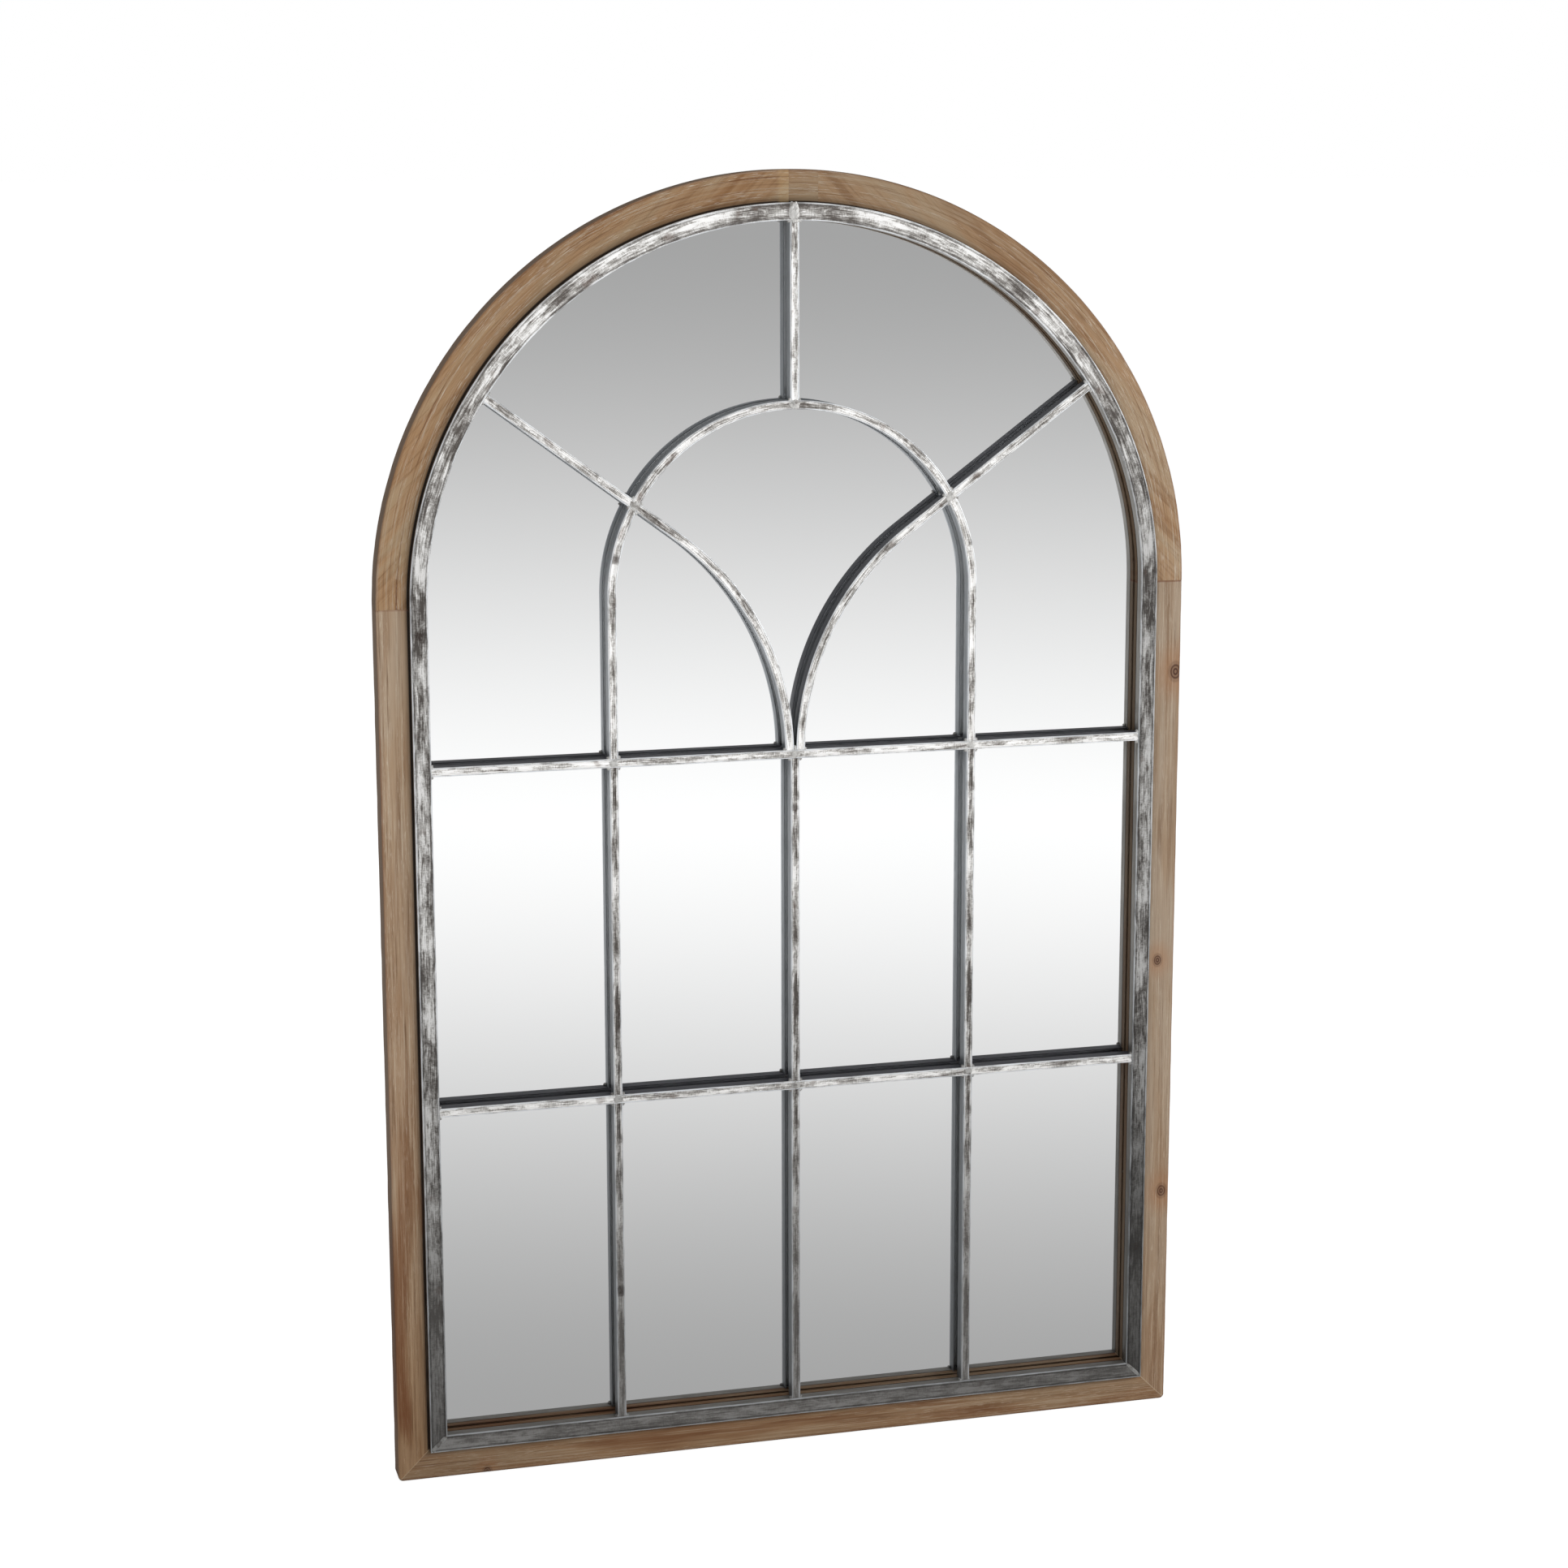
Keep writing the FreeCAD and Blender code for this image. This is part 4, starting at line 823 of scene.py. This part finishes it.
level_turn, key_turn, chord, upright_turn = np.radians([0, 8, 45, 90])
right_knots = ((376, 730, 6), (364, 449, 4), (373, 216, 5))
# The arch pieces and the key get lower tones than the stiles and the rail: painted shade that offsets the
# stronger light up there.
planks = {
    "left_stile": ((upright_turn, 1.08, -3, 0.38, 0.3), dict(scratches=0.3, blush=0.12, bold=0.95)),
    "right_stile": ((upright_turn, 0.92, -4, 0.10, 1.7), dict(knots=right_knots, scratches=0.25, bold=0.6)),
    "bottom_rail": ((level_turn, 1.07, 2, 0.36, 2.9), dict(knots=((-298, 1, 4),), bold=0.75, left=0.16)),
    "left_arch": ((chord, 0.88, 7, 0.0, 4.1), dict(scratches=0.6, bold=1.0, pale=0.22)),
    "crown_key": ((key_turn, 0.82, 5, 0.0, 5.3), dict(scratches=0.55, bold=0.8)),
    "right_arch": ((-chord, 0.88, 4, 0.0, 6.7), dict(scratches=0.55, bold=0.9)),
}
woods = {node: whitewashed_wood(node + "_finish", *main, **extra) for node, (main, extra) in planks.items()}
print("wood finishes:", len(woods))

# %% [markdown]
# ## Worn steel
# The band and bars are steel with an antique silver finish: brushed along their length, rubbed bright on
# every edge, with a fine dark line inside each bright edge and darker blotches left in the hollows. The pale
# bluish coat on the edges is that wear with a painted highlight on it. The side walls get a plain blue-grey
# whose lightness is painted light and shade: dark on the band's outer wall and on the crossbars, light on the
# band's inner wall and on the other bars, and darker towards the back. The band is lightest in the arch and
# darkens at the foot, and the bars too are lighter higher up, so each finish has one brightness for its top
# and one for its foot: painted light for the stronger light and reflection up there.

# %% Mix the steel finishes
def worn_steel(name, half_width, middle, top, foot, heights, shift, wall, right=0.0, groove=0.0, lines=1.0,
               marks=(), deep=0.0):
    """Steel with bright edges half a width from its middle line.

    Its brightness goes from foot to top between two heights, as painted light for the stronger light and
    reflection higher up, and falls by right towards the right. The bright edges are rubbed wear with a
    painted highlight on them. wall gives the colours of the two side walls and of the channel's inside, the
    walls' colours being painted light and shade, groove how dark the groove is, lines how dark the fine line
    is that runs inside each bright edge, marks (x, z, size in mm) where the metal was burnt or bruised, and
    deep how much darker the walls are towards the back, as painted shade.
    """
    f = Finish(name)
    x, _, z = f.parts(f.place)
    _, across, depth = f.parts(f.run)
    brushed = f.streaks(f.run, (90, 2300, 900), 0, shift, 4, 0.72)
    streak = f.streaks(f.run, (34, 640, 300), 0, shift + 1, 4, 0.66, 0.3)
    blotch = f.streaks(f.run, (64, 190, 150), 0, shift + 2, 5, 0.70, 0.6)
    cloud = f.streaks(f.run, (17, 50, 40), 0, shift + 3, 2, 0.5)
    ticks = f.streaks(f.run, (900, 260, 500), 0, shift, 3, 0.6)
    off = (across - middle).size()
    face = depth.rises(1.5 * MM, 0.7 * MM)
    rubbed = blotch * 0.46 + streak * 0.42 + brushed * 0.34 + ticks * 0.16 + (cloud - 0.5) * 0.5 + 0.08
    if groove:
        rubbed = rubbed - off.rises(RIM + 0.4 * MM, RIM - 0.5 * MM) * groove + (0.085 - 0.4 * groove)
    # Painted light: here and in the tone below, the steel grows brighter towards the top, standing for the
    # stronger light and reflection up there. The bright patches themselves are rubbed wear.
    wear_and_top_light = 0.35 + 0.65 * z.rises(0.02, 0.42)
    light, dark = rubbed.rises(0.755, 0.875) * wear_and_top_light, rubbed.rises(0.785, 0.665) * (0.3 + 0.7 * wear_and_top_light)
    tone = foot + (top - foot) * z.rises(heights[0] * MM, heights[1] * MM) - right * x.rises(-0.1, 0.38)
    tone = tone.at_least(0.16)
    line_at, line_reach = 0.75 * half_width - 0.2 * MM, (0.13 * half_width, 0.04 * half_width)
    inside = (off - line_at).size().rises(*line_reach) * lines
    rust = f.noise(f.place, 46, 2).rises(0.62, 0.70)
    metal = f.coats(paint(182, 179, 175), ((255, 254, 252), light), ((80, 73, 68), dark * 0.92),
                    ((58, 50, 46), brushed.rises(0.54, 0.70) * dark * 0.6), ((112, 92, 82), rust * 0.4))
    for mark_x, mark_z, size in marks:
        reach = ((x - mark_x * MM) ** 2.0 + (z - mark_z * MM) ** 2.0) ** 0.5 / (size * MM) + ticks * 0.6
        metal = f.coats(metal, ((58, 44, 38), reach.rises(1.6, 0.8) * 0.75))
    metal = f.coats(metal, ((66, 62, 60), inside * (0.35 + 0.4 * brushed.rises(0.6, 0.4))))
    # The rubbed edges get a pale bluish coat: wear, with a painted highlight for the light that the rounded
    # edges catch.
    rim = (off + streak * 0.0006).rises(half_width - 1.1 * MM, half_width - 0.5 * MM) * face
    edge_wear_and_highlight = f.shaded(paint(240, 244, 248), (0.25 + 0.75 * tone).clipped())
    metal = f.mix(f.shaded(metal, tone), edge_wear_and_highlight, rim * (0.3 + 0.6 * streak.rises(0.38, 0.58)))
    # Painted light and shade: each side wall gets its own colour by where it faces, scaled by the brightness
    # from foot to top, and darker towards the back by deep.
    sides = f.mix(wall[0], wall[1], (across - middle).rises(-1 * MM, 1 * MM))
    painted_wall_shading = f.shaded(sides, (1.08 - streak.rises(0.4, 0.62) * 0.25) * (0.25 + 0.75 * tone).clipped()
                    * (1 - deep * depth.rises(2.5 * MM, 6 * MM)))
    metal = f.mix(metal, painted_wall_shading, depth.rises(0.8 * MM, 1.6 * MM))
    hidden = off.rises(half_width - 0.7 * MM, half_width - 0.95 * MM) * depth.rises(1.6 * MM, 1.8 * MM)
    metal = f.mix(metal, f.shaded(wall[2], (0.1 + 0.9 * tone).clipped()), hidden)
    rough = (0.30 + 0.20 * blotch + 0.16 * dark).clipped()
    height = (brushed * 0.2 + blotch * 0.8 + ticks * 0.15) * face
    return f.surface(base_color=metal, metallic=0.60 - 0.2 * dark - 0.2 * light, roughness=rough,
                     normal=f.bump(height, 0.0004, 0.4))


half_band, mid_band = (BAND_OUT - OPENING) / 2, (BAND_INSET + FACE) / 2
# Colours of the two side walls and of the channel's inside. The walls' colours are painted light and shade:
# dark on the band's outer wall and on the crossbars, light on the band's inner wall and on the upright and
# tracery bars, between on the right ray and fork.
BAND_WALLS = paint(52, 50, 48), paint(176, 172, 166), paint(120, 118, 116)
BAR_WALLS = paint(184, 190, 196), paint(184, 190, 196), paint(236, 238, 240)
CROSSBAR_WALL_SHADE = paint(90, 91, 97), paint(90, 91, 97), paint(160, 160, 166)
SHADED_WALLS = paint(104, 106, 112), paint(104, 106, 112), paint(190, 192, 196)
lengths = {
    "band_side": ((half_band, mid_band, 0.80, 0.26, (0, 620), 0.4, BAND_WALLS, 0.26),
                  dict(marks=((-344.5, 794, 4),))),
    "band_foot": ((half_band, mid_band, 0.42, 0.42, (0, 560), 1.9, BAND_WALLS, 0.10), {}),
    "band_arch": ((half_band, mid_band, 1.2, 0.80, (800, 1080), 0.4, BAND_WALLS, 0.24),
                  dict(marks=((-0.8, 1161, 7),))),
    "crossbar": ((HALF_BAR, 0.0, 1.20, 1.0, (380, 700), 4.3, CROSSBAR_WALL_SHADE, 0, 0.03), {}),
    "upright_bar": ((HALF_BAR, 0.0, 1.05, 0.50, (60, 700), 5.9, BAR_WALLS, 0, 0.09),
                    dict(lines=0.7, marks=((-169, 170, 6), (-1, 621, 4)), deep=0.4)),
    "tracery_bar": ((HALF_BAR, 0.0, 1.2, 1.15, (700, 1100), 7.3, BAR_WALLS, 0, 0.05),
                    dict(marks=((-52, 827, 4), (-167, 856, 5)), deep=0.35)),
    "right_tracery": ((HALF_BAR, 0.0, 1.15, 1.1, (700, 1100), 8.1, SHADED_WALLS, 0, 0.05), {}),
}
steels = {kind: worn_steel(kind + "_finish", *main, **extra) for kind, (main, extra) in lengths.items()}
print("steel finishes:", len(steels))

# %% [markdown]
# ## Bright weld metal
# The dressed beads are the brightest steel on the object, with small pits and a dark rim where the heat
# stained the bars.

# %% Mix the weld finish
f = Finish("weld_finish")
pits, cloud = f.noise(f.place, 900, 3, 0.6), f.noise(f.place, 190, 3)
colour = f.coats(paint(222, 221, 218), ((120, 112, 106), cloud.rises(0.45, 0.68) * 0.7),
                 ((60, 52, 48), pits.rises(0.58, 0.72) * 0.6))
_, _, z = f.parts(f.place)
# Painted shade: the welds darken towards the foot, as the steel does.
colour = f.shaded(colour, 0.45 + 0.55 * z.rises(0.03, 0.75))
weld_finish = f.surface(base_color=colour, metallic=0.6, roughness=0.28 + 0.3 * cloud,
                        normal=f.bump(pits + cloud * 2, 0.0006, 0.5))
print("weld finish done")

# %% [markdown]
# ## Silvered glass
# A mirror is a metal with no roughness. It isn't quite colourless: the glass takes a little red out, and
# a cloth leaves the faintest haze, far too weak to blur what the mirror shows.

# %% Mix the mirror finish
f = Finish("mirror_finish")
haze = f.streaks(f.place, (2, 1, 5), 0.4, 0, 3, 0.5, 0.6)
tint = f.coats(paint(254, 254, 254), ((251, 252, 252), haze))
mirror_finish = f.surface(base_color=tint, metallic=1.0, roughness=haze.rises(0.45, 0.9) * 0.004)
print("mirror finish done")

# %% [markdown]
# ## Finishes that show only from the back
# Zinc-plated steel has large pale crystals and small scratches. Rubber is dull and dusty. Hardboard is
# brown pressed fibre with darker specks. Beech, in the hidden tongues, is pale with short fine flecks.

# %% Mix the finishes of the back
f = Finish("zinc_finish")
flakes = f.node("ShaderNodeTexVoronoi", inputs={"Vector": f.place, "Scale": 420.0}, output="Color")
shade, _, _ = f.parts(flakes)
scratch = f.streaks(f.place, (90, 1800, 1800), 0.5)
colour = f.coats(paint(150, 153, 156), ((206, 208, 210), shade * 0.7 + scratch * 0.3),
                 ((88, 84, 80), f.noise(f.place, 240, 3).rises(0.62, 0.8) * 0.6))
zinc_finish = f.surface(base_color=colour, metallic=0.95, roughness=0.26 + 0.2 * scratch,
                        normal=f.bump(scratch, 0.0002, 0.3))
f = Finish("rubber_finish")
dust = f.noise(f.place, 700, 4, 0.65)
rubber_finish = f.surface(base_color=f.coats(paint(34, 34, 35), ((70, 68, 65), dust.rises(0.5, 0.8))),
                          roughness=0.6 + 0.25 * dust, normal=f.bump(dust, 0.0002, 0.4))
f = Finish("hardboard_finish")
fibre = f.streaks(f.place, (260, 260, 190), 0.4, 0, 5, 0.7)
colour = f.coats(paint(116, 84, 56), ((146, 111, 77), fibre.rises(0.35, 0.65)),
                 ((84, 58, 38), f.noise(f.place, 14, 3).rises(0.5, 0.75) * 0.4))
hardboard_finish = f.surface(base_color=colour, roughness=0.7 + 0.15 * fibre,
                             normal=f.bump(fibre, 0.0004, 0.5))
f = Finish("beech_finish")
fleck = f.streaks(f.place, (60, 500, 500), 0.8)
beech_finish = f.surface(base_color=f.coats(paint(206, 172, 130), ((170, 130, 90), fleck.rises(0.45, 0.65))),
                         roughness=0.5 + 0.2 * fleck, normal=f.bump(fleck, 0.0002, 0.4))
print("finishes in all:", len(bpy.data.materials))

# %% [markdown]
# ## Put each piece on its body
# Each new piece rides on the body whose solid it stands for, and hides that solid. The two rings ride on
# bodies of their own, because they swing. A few solids that are hidden in the wood, or plain enough as
# they are, stay and only get a finish.

# %% Dress and place the pieces
def place(piece, finish, slot, *nodes, body="mirror"):
    piece.data.materials.append(finish)
    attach(piece, body)
    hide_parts(*nodes)


for node, piece in wood.items():
    place(piece, woods[node], "whitewashed_pine", node)
for node, piece in band.items():
    kind = "band_foot" if node == "bottom_band" else "band_arch" if "arch" in node else "band_side"
    place(piece, steels[kind], "band_steel", node)
for node, piece in bars.items():
    kind = ("crossbar" if "crossbar" in node else "upright_bar" if "middle" in node or "lower" in node
            else "right_tracery" if node in ("right_ray", "right_fork") else "tracery_bar")
    place(piece, steels[kind], "bar_steel", node)
for node, piece in (("crossing_welds", crossing_welds), ("tracery_welds", tracery_welds),
                    ("bar_end_welds", bar_end_welds), ("band_welds", band_welds)):
    place(piece, weld_finish, "weld_metal", node)
place(silver, mirror_finish, "mirror_glass", "mirror_glass")
place(straps, zinc_finish, "zinc_hardware", "hanger_straps")
place(screw_heads, zinc_finish, "zinc_hardware", "hanger_screws")
place(bumpers, rubber_finish, "black_rubber", "wall_bumpers")
for side, piece in rings.items():
    place(piece, zinc_finish, "zinc_hardware", side + "_hanger_ring", body=side + "_ring")
kept = {"backing_board": hardboard_finish, "retaining_points": zinc_finish, "mitre_tongues": beech_finish,
        "spring_tongues": beech_finish, "crown_tongue": beech_finish, "fixing_tabs": weld_finish,
        "fixing_screws": zinc_finish}
for node, finish in kept.items():
    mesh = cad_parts[node].data
    mesh.materials.clear()
    mesh.materials.append(finish)
print("solids kept:", len(kept))

# %% [markdown]
# ## Floor and room
# The mirror shows the room, so the room matters as much as the light. Seen directly, floor and backdrop are
# plain white. Seen in the mirror and in the steel, the floor is brightest some way in front and falls off to
# grey close by and far away, and above it the room is dim. That glow is painted light: the floor gives it off
# itself, to reflected rays only, to paint the reflection that the mirror shows. Real light on the object
# comes from the lamps and a soft sky. The glow is worked out for the eye's mirror image: with d the distance
# along the floor, the floor lies below eye level by dip = eye height / d, and above the picture's middle by
# (dip - tilt) / (1 + tilt dip).

# %% Lay the floor
EYE = (-0.752, -2.746, 1.1965)
MIRRORED_EYE, HEADING, TILT = (-0.752, 2.742), (0.262, -0.965), 0.2028
BRIGHT_ROW, HALF_PICTURE = 0.0045, 0.1865
FLOOR_REACH, FLOOR_DROP = 400.0, 0.4 * MM
floor_mesh = bpy.data.meshes.new("floor")
corners = [(x * FLOOR_REACH, y * FLOOR_REACH, -FLOOR_DROP) for x, y in ((-1, -1), (1, -1), (1, 1), (-1, 1))]
floor_mesh.from_pydata(corners, [], [(0, 1, 2, 3)])
floor = bpy.data.objects.new("floor", floor_mesh)
bpy.context.scene.collection.objects.link(floor)
f = Finish("floor_finish")
x, y, _ = f.parts(f.place)
distance = (x - MIRRORED_EYE[0]) * HEADING[0] + (y - MIRRORED_EYE[1]) * HEADING[1]
dip = EYE[2] / distance.at_least(0.5)
sight = (dip - TILT) / (1 + TILT * dip)
fall = ((sight - BRIGHT_ROW).size() / HALF_PICTURE).clipped()
# Painted light: a glow that the floor gives off to reflected rays only.
glow = 1.03 - (fall ** 0.85).rises(0, 1) * 0.489 - fall * 0.163
seen = f.node("ShaderNodeLightPath", output="Is Camera Ray")
mirrored = f.node("ShaderNodeLightPath", output="Is Glossy Ray")
pale = f.node("ShaderNodeBsdfDiffuse", inputs={"Color": (0.8, 0.8, 0.8, 1)})
faint = f.node("ShaderNodeBsdfDiffuse", inputs={"Color": (0.3, 0.3, 0.3, 1)})
bright = f.node("ShaderNodeEmission", inputs={"Color": (1, 1, 1, 1), "Strength": 0.87})
white_floor = f.node("ShaderNodeAddShader", inputs={0: faint, 1: bright})
shown = f.node("ShaderNodeMixShader", inputs={0: seen, 1: pale, 2: white_floor})
glow = f.node("ShaderNodeCombineXYZ", inputs={0: glow, 1: glow, 2: glow})
reflected = f.node("ShaderNodeEmission", inputs={"Color": glow, "Strength": 1.0})
whole = f.node("ShaderNodeMixShader", inputs={0: mirrored, 1: shown, 2: reflected})
f.links.new(whole.socket, f.end.inputs["Surface"])
floor_mesh.materials.append(f.material)

# %% [markdown]
# ## The room
# Rays that miss everything see the room. To the camera it is plain white, like a studio's backdrop. In
# the mirror and the steel it is a dim grey, which the floor's far end runs into, and as light it is a
# soft, even sky. A Mix Shader chooses by the kind of ray, so none of the three spoils the others.

# %% Paint the room
world = bpy.data.worlds.new("room")
bpy.context.scene.world = world
world.use_nodes = True
tree = world.node_tree
tree.nodes.clear()
path = tree.nodes.new("ShaderNodeLightPath")
end = tree.nodes.new("ShaderNodeOutputWorld")


def sky(level):
    node = tree.nodes.new("ShaderNodeBackground")
    node.inputs["Color"].default_value = (level, level, level, 1)
    return node.outputs[0]


def choose(mask, off, on):
    node = tree.nodes.new("ShaderNodeMixShader")
    tree.links.new(mask, node.inputs[0])
    tree.links.new(off, node.inputs[1])
    tree.links.new(on, node.inputs[2])
    return node.outputs[0]


soft = choose(path.outputs["Is Glossy Ray"], sky(0.50), sky(0.22))
tree.links.new(choose(path.outputs["Is Camera Ray"], soft, sky(1.0)), end.inputs["Surface"])
print("floor and room done")

# %% [markdown]
# ## Lamps
# A large soft lamp above and in front is the studio's main light, and a smaller one at the right fills
# in, so the frame's left side stays the darker one, as in the photograph. A third lights the back alone,
# for whoever walks round.

# %% Hang the lamps
LAMP_AIM = Vector((0, 0, 0.6))


def lamp(name, place, size, power, glints=True):
    """A round soft lamp aimed at the middle of the mirror, seen by glossy rays or not."""
    light = bpy.data.lights.new(name, "AREA")
    light.shape, light.size, light.energy = "DISK", size, power
    made = bpy.data.objects.new(name, light)
    made.location = place
    made.rotation_euler = (LAMP_AIM - made.location).to_track_quat("-Z", "Y").to_euler()
    made.visible_glossy = glints
    bpy.context.scene.collection.objects.link(made)


lamp("main_lamp", (0.7, -4.2, 2.5), 2.0, 102, glints=False)
lamp("side_lamp", (2.6, -1.8, 1.4), 1.2, 18)
lamp("back_lamp", (-1.2, 3.6, 2.4), 2.0, 50, glints=False)
print("lamps:", len(bpy.data.lights))

# %% [markdown]
# ## Camera
# The camera stands a little to the left, looks down slightly and has a long lens. Its three directions
# are set as they were found from the outline in the photograph: right, up, and back.

# %% Set the camera
FRAME_PIXELS, FOCAL_PIXELS = 1932, 3861
forward = Vector((0.25749773, 0.94699164, -0.1920983)).normalized()
right = Vector((0.96485844, -0.26276259, -0.00200483))
right = (right - forward * right.dot(forward)).normalized()
up = right.cross(forward)
camera_data = bpy.data.cameras.new("camera")
camera_data.sensor_width = 36.0
camera_data.lens = 36.0 * FOCAL_PIXELS / FRAME_PIXELS
camera = bpy.data.objects.new("camera", camera_data)
turned_to = Matrix((right, up, -forward)).transposed().to_4x4()
camera.matrix_world = Matrix.Translation(EYE) @ turned_to
bpy.context.scene.collection.objects.link(camera)
bpy.context.scene.camera = camera
bpy.context.scene.view_settings.view_transform = "Standard"
print("lens", round(camera_data.lens, 2), "mm")

# %% [markdown]
# ## Last step
# Last, the view layer is brought up to date.

# %% Bring the scene up to date
bpy.context.view_layer.update()
